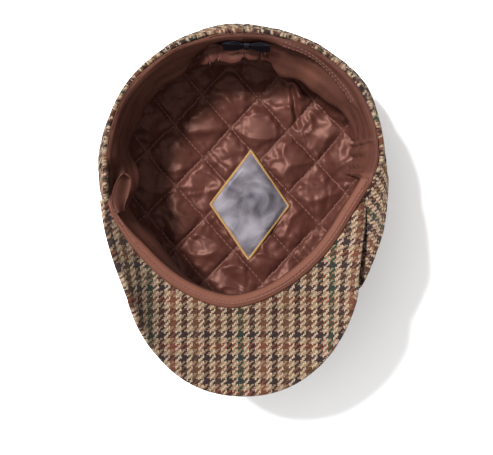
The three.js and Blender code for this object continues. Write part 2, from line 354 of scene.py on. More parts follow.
def linked(name: str, data: bpy.types.ID) -> Piece:
    """A new object at the origin, linked to the scene."""
    piece = bpy.data.objects.new(name, data)
    bpy.context.scene.collection.objects.link(piece)
    return piece


def new_object(name: str, points: Array, faces: list[tuple[int, ...]]) -> Piece:
    """A smooth-shaded mesh object at the origin, linked to the scene."""
    mesh = bpy.data.meshes.new(name)
    mesh.from_pydata(points.tolist(), [], faces)
    mesh.validate()
    mesh.shade_smooth()
    return linked(name, mesh)


def write_uv(piece: Piece, places: Array) -> None:
    """Gives a piece the UV map `cloth`: each vertex's place on the flat cloth, in metres."""
    layer = piece.data.uv_layers.new(name="cloth")
    corners = np.zeros(len(piece.data.loops), np.int32)
    piece.data.loops.foreach_get("vertex_index", corners)
    layer.data.foreach_set("uv", places[corners].astype(np.float32).ravel())


def cloth_wall(
    name: str, front: Array, back: Array, places: Array, layers: Layers = Layers.OPEN
) -> Piece:
    """A closed wall of cloth between two grids of points.

    Args:
        name: the piece's name.
        front: the face that shows, shaped (columns, rows, 3).
        back: the face behind it, of the same shape.
        places: each point's place on the flat cloth, shaped (columns, rows, 2).
        layers: whether the grid closes round its columns.

    Returns:
        The new piece, with its UV map.
    """
    columns, rows = front.shape[:2]
    count = columns * rows
    points = np.concatenate([front.reshape(-1, 3), back.reshape(-1, 3)])
    faces = grid_faces(columns, rows, 0, layers)
    faces += [tuple(reversed(face)) for face in grid_faces(columns, rows, count, layers)]
    spans = columns if layers is Layers.RING else columns - 1
    for i in range(spans):
        here, there = i * rows, ((i + 1) % columns) * rows
        faces.append((there, here, here + count, there + count))
        top, next_top = here + rows - 1, there + rows - 1
        faces.append((top, next_top, next_top + count, top + count))
    if layers is Layers.OPEN:
        last = (columns - 1) * rows
        for j in range(rows - 1):
            faces.append((j, j + 1, j + 1 + count, j + count))
            faces.append((last + j + 1, last + j, last + j + count, last + j + 1 + count))
    piece = new_object(name, points, ordered_outwards(points, faces))
    write_uv(piece, np.tile(places.reshape(-1, 2), (2, 1)))
    return piece


def surface_normals(grid: Array, layers: Layers = Layers.OPEN) -> Array:
    """Unit normals of a grid of points, column direction crossed with row direction."""
    if layers is Layers.RING:
        across = np.roll(grid, -1, axis=0) - np.roll(grid, 1, axis=0)
    else:
        across = np.gradient(grid, axis=0)
    return unit(np.cross(across, np.gradient(grid, axis=1)))


def arc_lengths(grid: Array, axis: int) -> Array:
    """The distance run along a grid's lines from their first point."""
    steps = np.linalg.norm(np.diff(grid, axis=axis), axis=-1)
    start = np.zeros_like(np.take(steps, [0], axis=axis))
    return np.concatenate([start, np.cumsum(steps, axis=axis)], axis=axis)


def laid_flat(grid: Array) -> Array:
    """The place of each point of a strip on its flat cloth: how far across and along it lies."""
    return np.stack([arc_lengths(grid, 0), arc_lengths(grid, 1)], axis=-1)


# ---- material helpers


def set_inputs(tree: Tree, node: Node, values: dict) -> None:
    """Sets a node's inputs, by name or number: an output socket is linked, a value is set."""
    for key, value in values.items():
        if isinstance(value, Socket):
            tree.links.new(value, node.inputs[key])
        else:
            node.inputs[key].default_value = value


def add_node(tree: Tree, kind: str, links: dict | None = None, **settings: object) -> Node:
    """Adds a node to a tree.

    Args:
        tree: the tree.
        kind: the node's type name.
        links: for each input, by name or number, an output socket or a plain value.
        settings: the node's own properties.

    Returns:
        The new node.
    """
    node = tree.nodes.new(kind)
    for name, value in settings.items():
        setattr(node, name, value)
    set_inputs(tree, node, links or {})
    return node


def new_material(name: str) -> tuple[Material, Tree, Node]:
    """A material with only a Principled BSDF and its output: (material, tree, shader)."""
    material = bpy.data.materials.new(name)
    material.use_nodes = True
    tree = material.node_tree
    return material, tree, tree.nodes["Principled BSDF"]


def maths(tree: Tree, operation: str, *values: object) -> Socket:
    """The result of one arithmetic step on sockets or numbers."""
    links = dict(enumerate(values))
    return add_node(tree, "ShaderNodeMath", links, operation=operation).outputs[0]


def mix_colour(tree: Tree, share: object, low: object, high: object, blend: str = "MIX") -> Socket:
    """Two colours mixed by a share."""
    links = {0: share, 6: low, 7: high}
    node = add_node(tree, "ShaderNodeMix", links, data_type="RGBA", blend_type=blend)
    return node.outputs[2]


def cloth_places(tree: Tree) -> Socket:
    """Each point's place on the flat cloth, from the piece's UV map."""
    return add_node(tree, "ShaderNodeUVMap", uv_map="cloth").outputs["UV"]


def axes_of(tree: Tree, vector: Socket) -> Sockets:
    """The separate parts of a vector or a colour."""
    return add_node(tree, "ShaderNodeSeparateXYZ", {0: vector}).outputs


def noise(tree: Tree, places: Socket, scale: float, detail: float, **more: float) -> Sockets:
    """The outputs of an uneven texture over the cloth, its scale in waves for each metre."""
    links = {"Vector": places, "Scale": scale, "Detail": detail, **more}
    return add_node(tree, "ShaderNodeTexNoise", links).outputs


def shaded(tree: Tree, colour: object, shade: Socket) -> Socket:
    """A colour darkened by a share."""
    grey = add_node(tree, "ShaderNodeCombineColor", {0: shade, 1: shade, 2: shade})
    return mix_colour(tree, 1.0, colour, grey.outputs[0], blend="MULTIPLY")


def bumped(tree: Tree, height: Socket, strength: float, distance: float) -> Socket:
    """The surface's normal, tilted by a height."""
    links = {"Height": height, "Strength": strength, "Distance": distance}
    return add_node(tree, "ShaderNodeBump", links).outputs[0]


# ---- finishes


@dataclass(frozen=True)
class WoolTweed:
    """Wool tweed in a gun club check, matt and hairy: light hooks on dark blocks in four colours.

    The cloth is a 2/2 twill, four light threads then four dark ones each way. Every dark block
    of the warp, and of the weft, takes the next colour of its own round of eight. Each thread
    shows as a slanted bead, and heathered wool breaks its colour up.
    """

    name: str = "wool_tweed"
    thread: float = 0.95 * MM
    weft_thread: float = 0.975 * MM
    block: int = 4
    light: str = "7E6C5B"
    weft_light: str = "604D3C"
    slate: str = "1C1213"
    grey: str = "231A1A"
    green: str = "10261D"
    rust: str = "4C2A1D"
    brown: str = "402A1D"
    umber: str = "331E14"
    start: Pair = (-7.4 * MM, 2 * MM)  # where a warp and a weft round begins
    wander: float = 1.8  # how far a thread strays sideways, in threads
    yarn_waves: float = 620.0  # unevenness of the yarn, in waves for each metre
    hair_waves: float = 2600.0
    mottle_waves: float = 900.0
    bead_shade: Pair = (0.35, 0.72)  # a bead's gain in light, and a groove's light

    @property
    def warp_round(self) -> list[str]:
        """The dark blocks' colours across the warp, left to right."""
        slate = self.slate
        return [self.green, slate, self.rust, slate, self.brown, slate, self.umber, slate]

    @property
    def weft_round(self) -> list[str]:
        """The dark blocks' colours along the weft, front to back."""
        brown, grey = self.brown, self.grey
        return [grey, brown, grey, self.rust, grey, brown, self.umber, self.rust]

    def thread_colour(
        self, tree: Tree, number: Socket, colours: Sequence[str], light: str
    ) -> Socket:
        """Finds the colour of each thread of one direction.

        Args:
            tree: the material's tree.
            number: the thread's number, counted across the cloth.
            colours: the dark blocks' colours, in order.
            light: the colour of the light blocks.

        Returns:
            The colour socket.
        """
        repeat = 2 * self.block
        place = maths(tree, "FLOORED_MODULO", number, repeat)
        dark = maths(tree, "GREATER_THAN", place, self.block - 0.5)
        block = maths(tree, "FLOOR", maths(tree, "DIVIDE", number, repeat))
        turn = maths(tree, "FLOORED_MODULO", block, len(colours))
        share = maths(tree, "DIVIDE", maths(tree, "ADD", turn, 0.5), len(colours))
        ramp = add_node(tree, "ShaderNodeValToRGB", {0: share})
        ramp.color_ramp.interpolation = "CONSTANT"
        stops = ramp.color_ramp.elements
        while len(stops) < len(colours):
            stops.new(0.5)
        for i, colour in enumerate(colours):
            stops[i].position = i / len(colours)
            stops[i].color = linear(colour)
        return mix_colour(tree, dark, linear(light), ramp.outputs["Color"])

    def counted(self, tree: Tree, places: Socket) -> tuple[list[Socket], list[Socket]]:
        """Counts the threads each way across the cloth.

        Args:
            tree: the material's tree.
            places: the places on the flat cloth.

        Returns:
            The warp's and the weft's thread numbers, and how far across its thread a place is.
        """
        wobble = axes_of(tree, noise(tree, places, self.yarn_waves, 2.0)["Color"])
        place = axes_of(tree, places)
        counts, insides = [], []
        for axis, thread in enumerate((self.thread, self.weft_thread)):
            run = maths(tree, "SUBTRACT", place[axis], self.start[axis])
            straight = maths(tree, "DIVIDE", run, thread)
            stray = maths(tree, "SUBTRACT", wobble[axis], 0.5)
            along = maths(tree, "MULTIPLY_ADD", stray, self.wander, straight)
            counts.append(maths(tree, "FLOOR", along))
            insides.append(maths(tree, "FRACT", along))
        return counts, insides

    def woven(self, tree: Tree, places: Socket) -> tuple[Socket, Socket]:
        """The colour of the thread on top at each place, and the height of its bead."""
        counts, insides = self.counted(tree, places)
        crossing = maths(tree, "SUBTRACT", counts[0], counts[1])
        step = maths(tree, "FLOORED_MODULO", crossing, self.block)
        warp_over = maths(tree, "LESS_THAN", step, self.block / 2 - 0.5)
        warp = self.thread_colour(tree, counts[0], self.warp_round, self.light)
        weft = self.thread_colour(tree, counts[1], self.weft_round, self.weft_light)
        colour = mix_colour(tree, warp_over, weft, warp)
        beads = []
        for inside in insides:
            centred = maths(tree, "MULTIPLY_ADD", inside, 2.0, -1.0)
            beads.append(maths(tree, "SUBTRACT", 1.0, maths(tree, "MULTIPLY", centred, centred)))
        bead = add_node(tree, "ShaderNodeMix", {0: warp_over, 2: beads[1], 3: beads[0]})
        return colour, bead.outputs[0]

    def material(self) -> Material:
        """Wool tweed: the checks and the twill's beads come from the piece's own cloth map."""
        material, tree, shader = new_material(self.name)
        places = cloth_places(tree)
        woven, bead = self.woven(tree, places)
        hairs = noise(tree, places, self.hair_waves, 3.0)["Fac"]
        mottle = noise(tree, places, self.mottle_waves, 2.0)
        flecks = mix_colour(tree, 0.4, mottle["Fac"], mottle["Color"])
        twice = {0: flecks, 1: (2.0, 2.0, 2.0), 2: (0.0, 0.0, 0.0)}
        heather = add_node(tree, "ShaderNodeVectorMath", twice, operation="MULTIPLY_ADD")
        mixed = mix_colour(tree, 1.0, woven, heather.outputs[0], blend="MULTIPLY")
        colour = shaded(tree, mixed, maths(tree, "MULTIPLY_ADD", bead, *self.bead_shade))
        fuzz = maths(tree, "MULTIPLY_ADD", hairs, 0.6, bead)
        look = {
            "Base Color": colour,
            "Normal": bumped(tree, fuzz, 0.7, 0.3 * MM),
            "Roughness": 0.95,
            "Specular IOR Level": 0.1,
            "Sheen Weight": 0.06,
            "Sheen Roughness": 0.6,
            "Sheen Tint": linear("E8DCCB"),
        }
        set_inputs(tree, shader, look)
        return material


@dataclass(frozen=True)
class Satin:
    """Polyester satin: floats all one way, so its gloss spreads across them."""

    name: str
    colour: str
    shadow_colour: str
    sheen_colour: str
    roughness: float = 0.42
    specular: float = 0.42
    anisotropic: float = 0.5
    contrast: float = 2.2  # how strongly the two colours part into patches
    patch_waves: float = 45.0  # in waves for each metre
    thread: float = 0.3 * MM  # drawn coarser than the real 0.1 mm, so that it shows

    def material(self) -> Material:
        """Satin: a soft coloured gloss with faint lines of thread, and patches of painted sheen and
        shade in its colour.
        """
        material, tree, shader = new_material(self.name)
        places = cloth_places(tree)
        # painted sheen and shade: the two colours part into cloudy patches that stand in for the
        # satin's changing sheen
        patches = noise(tree, places, self.patch_waves, 3.0, Distortion=0.8)["Fac"]
        strong = maths(tree, "MULTIPLY_ADD", patches, self.contrast, 0.5 - self.contrast / 2)
        colour = mix_colour(tree, strong, linear(self.shadow_colour), linear(self.colour))
        along = axes_of(tree, places)[1]
        floats = maths(tree, "SINE", maths(tree, "MULTIPLY", along, 2 * math.pi / self.thread))
        look = {
            "Base Color": colour,
            "Normal": bumped(tree, floats, 0.25, 0.02 * MM),
            "Roughness": self.roughness,
            "Specular IOR Level": self.specular,
            "Specular Tint": linear(self.sheen_colour),
            "Anisotropic": self.anisotropic,
        }
        set_inputs(tree, shader, look)
        return material


@dataclass(frozen=True)
class TwillTape:
    """Close woven cotton and rayon cloth: fine slanting ribs and a soft low sheen."""

    name: str
    colour: str
    # the paler colour, used for uneven dye and for painted light
    dye_and_lit_colour: str
    rib: float = 0.8 * MM
    roughness: float = 0.6
    slope: float = 1.0  # how much the ribs slant: 0 for ribs straight across
    patch_waves: float = 150.0  # unevenness of the dye, in waves for each metre
    patch_range: Pair = (2.4, -0.7)  # the patches' contrast, and what is then added
    rib_shade: Pair = (0.13, 0.87)  # a rib's gain in light, and the mean light

    def material(self) -> Material:
        """Twill: slanted ribs from the piece's own cloth map, with faint uneven dye and paler
        places of painted light and sheen.
        """
        material, tree, shader = new_material(self.name)
        places = cloth_places(tree)
        patches = noise(tree, places, self.patch_waves, 6.0, Roughness=0.75)["Fac"]
        patches = maths(tree, "MULTIPLY_ADD", patches, *self.patch_range)
        # painted light: the `turned` attribute lightens the band where light and sheen fall, and on
        # the ring's paler face
        turned = add_node(tree, "ShaderNodeAttribute", attribute_name="turned").outputs["Fac"]
        pale = maths(tree, "MULTIPLY_ADD", patches, 0.25, maths(tree, "MULTIPLY", turned, 0.8))
        dyed_and_lit = mix_colour(tree, pale, linear(self.colour), linear(self.dye_and_lit_colour))
        across, along = axes_of(tree, places)[:2]
        slant = maths(tree, "MULTIPLY_ADD", along, self.slope, across)
        ribs = maths(tree, "SINE", maths(tree, "MULTIPLY", slant, 2 * math.pi / self.rib))
        colour = shaded(tree, dyed_and_lit, maths(tree, "MULTIPLY_ADD", ribs, *self.rib_shade))
        look = {
            "Base Color": colour,
            "Normal": bumped(tree, ribs, 0.6, 0.1 * MM),
            "Roughness": self.roughness,
            "Specular IOR Level": 0.12,
        }
        set_inputs(tree, shader, look)
        return material


@dataclass(frozen=True)
class TwistedThread:
    """Sewing or embroidery thread: fine turns of ply with a silky gloss."""

    name: str
    colour: str
    roughness: float = 0.45
    metallic: float = 0.0
    ply: float = 0.25 * MM

    def material(self) -> Material:
        """Thread: slanted ply lines over the stitches, read from each piece's own places."""
        material, tree, shader = new_material(self.name)
        places = axes_of(tree, add_node(tree, "ShaderNodeTexCoord").outputs["Object"])
        slant = maths(tree, "ADD", places[0], places[1])
        turns = maths(tree, "SINE", maths(tree, "MULTIPLY", slant, 2 * math.pi / self.ply))
        shade = maths(tree, "MULTIPLY_ADD", turns, 0.08, 0.92)
        look = {
            "Base Color": shaded(tree, linear(self.colour), shade),
            "Roughness": self.roughness,
            "Metallic": self.metallic,
        }
        set_inputs(tree, shader, look)
        return material


# ---- stitches


@dataclass(frozen=True)
class Stitching:
    """Stitches of one size, each an arched length of thread whose two ends sink in the cloth."""

    name: str
    length: float
    width: float
    rise: float
    sink: float

    @staticmethod
    def stitch(tree: Tree, given: Sockets) -> Socket:
        """One stitch: an arch of thread along X, its two ends below the cloth."""
        half = maths(tree, "MULTIPLY", given["Length"], 0.5)
        minus_half = maths(tree, "MULTIPLY", given["Length"], -0.5)
        below = maths(tree, "MULTIPLY", given["Sink"], -1.0)
        crest = maths(tree, "MULTIPLY_ADD", given["Rise"], 2.0, given["Sink"])
        start, middle, end = (
            add_node(tree, "ShaderNodeCombineXYZ", links).outputs[0]
            for links in ({0: minus_half, 2: below}, {2: crest}, {0: half, 2: below})
        )
        bent = {"Resolution": 5, "Start": start, "Middle": middle, "End": end}
        arch = add_node(tree, "GeometryNodeCurveQuadraticBezier", bent).outputs[0]
        radius = maths(tree, "MULTIPLY", given["Width"], 0.5)
        round_thread = {"Resolution": 6, "Radius": radius}
        ring = add_node(tree, "GeometryNodeCurvePrimitiveCircle", round_thread).outputs[0]
        swept = {"Curve": arch, "Profile Curve": ring, "Fill Caps": True}
        return add_node(tree, "GeometryNodeCurveToMesh", swept).outputs[0]

    def tree(self) -> bpy.types.GeometryNodeTree:
        """The node tree that puts one stitch on each vertex.

        Each vertex carries `along`, the way its stitch runs, and `up`, the way out of the
        cloth. The inputs are the stitch's sizes and its material.
        """
        tree = bpy.data.node_groups.new(f"{self.name}_stitches", "GeometryNodeTree")
        face = tree.interface
        face.new_socket("Places", in_out="INPUT", socket_type="NodeSocketGeometry")
        for size in ("Length", "Width", "Rise", "Sink"):
            face.new_socket(size, in_out="INPUT", socket_type="NodeSocketFloat")
        face.new_socket("Thread", in_out="INPUT", socket_type="NodeSocketMaterial")
        face.new_socket("Stitches", in_out="OUTPUT", socket_type="NodeSocketGeometry")
        given = add_node(tree, "NodeGroupInput").outputs
        stitch = self.stitch(tree, given)
        along, up = (
            add_node(
                tree, "GeometryNodeInputNamedAttribute", {"Name": name}, data_type="FLOAT_VECTOR"
            ).outputs[0]
            for name in ("along", "up")
        )
        ways = {"Primary Axis": along, "Secondary Axis": up}
        turn = add_node(
            tree, "FunctionNodeAxesToRotation", ways, primary_axis="X", secondary_axis="Z"
        )
        links = {"Points": given["Places"], "Instance": stitch, "Rotation": turn.outputs[0]}
        sewn = add_node(tree, "GeometryNodeInstanceOnPoints", links).outputs[0]
        real = add_node(tree, "GeometryNodeRealizeInstances", {0: sewn}).outputs[0]
        smooth = add_node(tree, "GeometryNodeSetShadeSmooth", {0: real}).outputs[0]
        links = {"Geometry": smooth, "Material": given["Thread"]}
        dressed = add_node(tree, "GeometryNodeSetMaterial", links).outputs[0]
        add_node(tree, "NodeGroupOutput", {0: dressed})
        return tree

    def sew(self, places: Array, along: Array, up: Array, thread: Material) -> Piece:
        """Sews a stitch at each place.

        Args:
            places: the stitches' middles, shaped (n, 3).
            along: the way each stitch runs.
            up: the way out of the cloth at each stitch.
            thread: the thread's material.

        Returns:
            The stitches as one plain mesh piece.
        """
        carrier = new_object(f"{self.name}_places", places, [])
        for name, values in (("along", along), ("up", up)):
            attribute = carrier.data.attributes.new(name, "FLOAT_VECTOR", "POINT")
            attribute.data.foreach_set("vector", values.astype(np.float32).ravel())
        tree = self.tree()
        modifier = carrier.modifiers.new("stitches", "NODES")
        modifier.node_group = tree
        sockets = {
            item.name: item.identifier
            for item in tree.interface.items_tree
            if item.item_type == "SOCKET" and item.in_out == "INPUT"
        }
        sizes = {"Length": self.length, "Width": self.width, "Rise": self.rise, "Sink": self.sink}
        for name, value in (sizes | {"Thread": thread}).items():
            modifier[sockets[name]] = value
        depsgraph = bpy.context.evaluated_depsgraph_get()
        mesh = bpy.data.meshes.new_from_object(carrier.evaluated_get(depsgraph))
        mesh.name = self.name
        carrier.modifiers.remove(modifier)
        bpy.data.objects.remove(carrier)
        bpy.data.node_groups.remove(tree)
        return linked(self.name, mesh)


def round_columns(count: int) -> Array:
    """Even angles once round, from 0."""
    return np.linspace(0, 2 * math.pi, count, endpoint=False)


def evenly_along(line: Array, spacing: float, *carried: Array) -> tuple[Array, ...]:
    """Places at an even spacing along a line of points.

    Args:
        line: the line's points, shaped (n, 3).
        spacing: the distance between places.
        carried: other values at the same points, such as normals.

    Returns:
        The places, the line's direction at each, and each carried value there.
    """
    run = arc_lengths(line, 0)
    count = max(int(run[-1] / spacing), 1)
    at = (np.arange(count) + 0.5) * run[-1] / count

    def pick(values: Array) -> Array:
        """Values at the places, one column at a time."""
        return np.stack([np.interp(at, run, column) for column in values.T], axis=-1)

    along = unit(np.gradient(line, run, axis=0))
    return (pick(line), unit(pick(along)), *(pick(values) for values in carried))


def put_in_place(piece: Piece, slot: str, *nodes: str) -> Piece:
    """Lets a finished piece ride on the cap and stand for CAD nodes, whose parts it hides."""
    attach(piece, "root")
    if nodes:
        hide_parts(*nodes)
    log.info("%s: %d faces", piece.name, len(piece.data.polygons))
    return piece


def dress(piece: Piece, material: Material) -> Piece:
    """Gives a piece its one material."""
    piece.data.materials.clear()
    piece.data.materials.append(material)
    return piece


# ---- crown, button and headband


@dataclass(frozen=True)
class Crown:
    """Eight tweed gores, seamed from the button to the band."""

    columns: int = 40
    rows: int = 90
    seam_depth: float = 0.8 * MM
    seam_width: float = 1.7 * MM
    pucker: float = 0.2 * MM
    pucker_wave: float = 7 * MM
    fold: float = 0.9 * MM
    nap_depth: float = 0.12 * MM
    puffs: tuple[tuple[float, ...], ...] = (
        (84, 142, 34, 19, 34), (82, 112, 26, 9, 9), (106, 152, 22, 0, 20)
    )  # from and to an angle and its ease, and millimetres up at the band and at the bulge
    puff_in: float = 4.2 * MM
    tucked: Pair = (math.radians(212), math.radians(255))  # under the left wing
    tuck_in: float = 6.5 * MM
    flattened: tuple[tuple[float, float, float], ...] = (
        (math.radians(20), math.radians(38), 2.5 * MM),
        (math.radians(292), math.radians(330), 2.5 * MM),
    )  # where the side lies further in: from and to an angle, and how far
    folds: Ripple = Ripple(46 * MM, seed=11)
    nap: Ripple = Ripple(9 * MM, seed=12)

    def surface(self, index: int) -> tuple[Array, Array, Array]:
        """One gore's outer face, its inner face and its places on the flat cloth."""
        columns = self.column_angles()[index * self.columns : (index + 1) * self.columns]
        level = np.linspace(0, 1, self.rows)
        angles, levels = np.meshgrid(columns, level, indexing="ij")
        base = crown_point(angles.ravel(), levels.ravel()).reshape(*angles.shape, 3)
        inward = crown_normal(angles.ravel(), levels.ravel()).reshape(*angles.shape, 3)
        across = arc_lengths(base, 0)
        total = across[-1:]
        centre = slice(self.columns // 2, self.columns // 2 + 1)
        down_centre = arc_lengths(base[centre], 1)
        to_seam = np.minimum(across, total - across)
        seam = np.exp(-((to_seam / self.seam_width) ** 2))
        side = smoothstep(levels, 0.45, 0.7) * (1 - smoothstep(levels, 0.9, 1.0))
        ripple = np.sin(2 * math.pi * (down_centre + 3 * MM * index) / self.pucker_wave)
        depth = self.seam_depth * seam * (1 - 0.5 * smoothstep(levels, 0.95, 1.0))
        depth += self.pucker * ripple * np.exp(-((to_seam / (3 * self.seam_width)) ** 2))
        depth += self.fold * self.folds(base[..., 0] + base[..., 2], base[..., 1]) * side
        depth += self.nap_depth * self.nap(base[..., 0] + base[..., 2], base[..., 1])
        bulged = 1 - smoothstep(levels, 0.86, 1.0)
        raised = np.zeros_like(levels)
        for low, high, ease, at_band, at_bulge in self.puffs:
            amount = lerp(at_band, at_bulge, bulged) * MM * smoothstep(levels, 0.6, 0.86)
            raised += amount * window(np.degrees(angles), low, high, ease)
        puffed = smoothstep(raised, 0, 34 * MM)
        depth += self.puff_in * puffed * (1 - 0.75 * smoothstep(levels, 0.88, 0.97))
        tucked = window(angles, *self.tucked, 0.4) * smoothstep(levels, 0.45, 0.7)
        depth += self.tuck_in * tucked * (1 - 0.6 * smoothstep(levels, 0.9, 1.0))
        for low, high, amount in self.flattened:
            depth += amount * window(angles, low, high, 0.25) * smoothstep(levels, 0.5, 0.75)
        outer = base + inward * depth[..., None]
        outer[..., 2] += raised
        outer[..., 2] = np.maximum(outer[..., 2], 0)
        inner = outer + inward * PANEL_THICKNESS * 0.8
        down = np.broadcast_to(arc_lengths(outer[centre], 1), across.shape)
        places = np.stack([across - total / 2, down], axis=-1)
        return outer, inner, places

    @cached_property
    def inner_face(self) -> BVHTree:
        """The gores' inner faces, to measure distances from."""
        size = self.columns * self.rows
        points = [self.surface(index)[1].reshape(-1, 3) for index in range(PANEL_COUNT)]
        faces: list[tuple[int, ...]] = []
        for index in range(PANEL_COUNT):
            faces += grid_faces(self.columns, self.rows, index * size, Layers.OPEN)
        return BVHTree.FromPolygons(np.concatenate(points).tolist(), faces)

    def keep_inside(self, points: Array, clear: float) -> Array:
        """Moves points into the cap where they lie too near the gores, or past them.

        Args:
            points: the points, shaped (count, 3).
            clear: the least distance from the gores' inner faces.

        Returns:
            The points, moved square to the gores where they had to be.
        """
        middle = np.array([*CROWN_CENTRE, 30 * MM])
        moved = points.copy()
        for _ in range(2):
            found = [self.inner_face.find_nearest(point)[:2] for point in moved.tolist()]
            nearest = np.array([place for place, _ in found])
            normal = np.array([heading for _, heading in found])
            normal *= np.sign(((middle - nearest) * normal).sum(axis=1, keepdims=True))
            away = ((moved - nearest) * normal).sum(axis=1, keepdims=True)
            moved += normal * np.maximum(clear - away, 0)
        return moved

    def column_angles(self) -> Array:
        """The angle of each column of each gore in turn."""
        share = 0.5 - 0.5 * np.cos(np.linspace(0, math.pi, self.columns))
        share = lerp(np.linspace(0, 1, self.columns), share, 0.5)
        width = 2 * math.pi / PANEL_COUNT
        return np.concatenate([width * (index + share) for index in range(PANEL_COUNT)])

    def build(self, tweed: Material) -> None:
        for index in range(PANEL_COUNT):
            outer, inner, places = self.surface(index)
            name = f"crown_gore_{index + 1}"
            piece = dress(cloth_wall(name, outer, inner, places), tweed)
            put_in_place(piece, "tweed", f"crown_panel_{index + 1}")


@dataclass(frozen=True)
class Button:
    """A flat tweed-covered button over the meeting tips of the gores."""

    columns: int = 72
    rows: int = 28
    gathers: int = 18
    gather_depth: float = 0.12 * MM
    section: tuple[Pair, ...] = (
        (0.3, 0.25), (3.5, 0.15), (6.5, 0.05), (8.2, 0.25), (8.9, 0.9), (8.7, 1.7), (7.6, 2.3),
        (4.5, 2.4), (0.3, 2.4),
    )  # radius and height in millimetres, from the middle of the outer face to the inner one

    def build(self, tweed: Material) -> None:
        """Makes the button, its cover drawn in under its rim."""
        rows = self.rows
        profile = smooth_line(np.array(self.section) * MM, rows)
        turn = round_columns(self.columns)[:, None]
        radius = np.broadcast_to(profile[None, :, 0], (self.columns, rows))
        share = radius / radius.max()
        radius = radius + self.gather_depth * share**4 * np.sin(self.gathers * turn)
        x, y = radius * np.sin(turn), radius * np.cos(turn)
        z = np.broadcast_to(profile[None, :, 1], x.shape)
        points = np.stack([x + CROWN_CENTRE[0], y + CROWN_CENTRE[1], z], axis=-1)
        faces = grid_faces(self.columns, rows, 0, Layers.RING)
        faces.append(tuple(i * rows for i in range(self.columns)))
        faces.append(tuple(i * rows + rows - 1 for i in reversed(range(self.columns))))
        flat = points.reshape(-1, 3)
        piece = new_object("covered_button", flat, ordered_outwards(flat, faces))
        write_uv(piece, flat[:, :2])
        put_in_place(dress(piece, tweed), "tweed", "button")


def under_peak(angle: Array) -> Array:
    """How far the headband is pressed down under the peak, from 0 at the back to 1 in front."""
    fully_pressed, free = 0.94, 1.03  # shares of the peak's wing angle
    return 1 - smoothstep(np.abs(angle - math.pi) / PEAK.wing_angle, fully_pressed, free)


def facing(grid: Array, middle: Array) -> Array:
    """Unit normals of a closed ring of points, on the side of a point in its middle."""
    normal = surface_normals(grid, Layers.RING)
    return normal * np.sign(((middle - grid) * normal).sum(axis=-1, keepdims=True))


def behind_bow(angle: Array) -> Array:
    """1 at the back, where the bow sits, easing to 0 on either side of it."""
    low, high, ease = 2.72, 3.42, 0.3  # angles from the front
    return window((angle + math.pi) % (2 * math.pi), low, high, ease)


def sweep(angle: Array, out: Array, down: Array) -> Array:
    """Points of a band swept round the opening.

    Args:
        angle: angles from the back, of the distances' shape or one for each column.
        out: distances out from the opening's inner edge, shaped (columns, rows).
        down: depths below it, of the same shape.

    Returns:
        The points, shaped (columns, rows, 3).
    """
    angles = np.broadcast_to(angle, out.shape)
    points = OPENING.point(angles, out)
    points[..., 2] = OPENING.point(angles)[..., 2] - down
    return points


@dataclass(frozen=True)
class Headband:
    """A tweed band round the opening, its upper edge folded over to the inside."""

    columns: int = 320
    rows: int = 40
    thickness: float = 1.7 * MM
    peak_thickness: float = 3.6 * MM
    unevenness: Ripple = Ripple(30 * MM, seed=21)
    bias: float = math.radians(12)  # how far the band is cut off the cloth's grain
    path: tuple[Pair, ...] = (
        (3.3, 27.0), (3.6, 18.0), (3.5, 9.0), (3.2, 3.5), (2.6, 1.0), (1.8, 0.7), (1.1, 1.9),
        (0.9, 5.0), (0.9, 10.0),
    )  # distance out and depth in millimetres along the middle of the cloth

    def build(self, tweed: Material) -> None:
        line = smooth_line(np.array(self.path) * MM, self.rows)
        heading = unit(np.gradient(line, axis=0))
        normal = np.stack([heading[:, 1], -heading[:, 0]], axis=-1)
        angle = round_columns(self.columns)
        round_opening = arc_lengths(OPENING.point(np.append(angle, 2 * math.pi)), 0)
        run = np.broadcast_to(round_opening[:-1, None], (self.columns, self.rows))
        wave = self.unevenness(np.cos(angle) * 0.1, np.sin(angle) * 0.1)[:, None]
        pressed = (self.peak_thickness + GAP) * under_peak(angle)[:, None]
        free = 1 - line[:, 1] / line[:, 1].max()
        faces = []
        for side in (1, -1):
            out, down = (line + normal * side * self.thickness / 2).T
            outs = out[None] + 0.25 * MM * wave
            downs = down[None] + pressed * free[None] + 0.3 * MM * wave * free[None]
            faces.append(sweep(angle[:, None], outs, downs))
        along = arc_lengths(line, 0)
        bias = math.tan(self.bias)
        places = np.stack([run + along * bias, along - run * bias], axis=-1)
        piece = cloth_wall("folded_headband", faces[0], faces[1], places, Layers.RING)
        put_in_place(dress(piece, tweed), "tweed", "headband")


# ---- peak


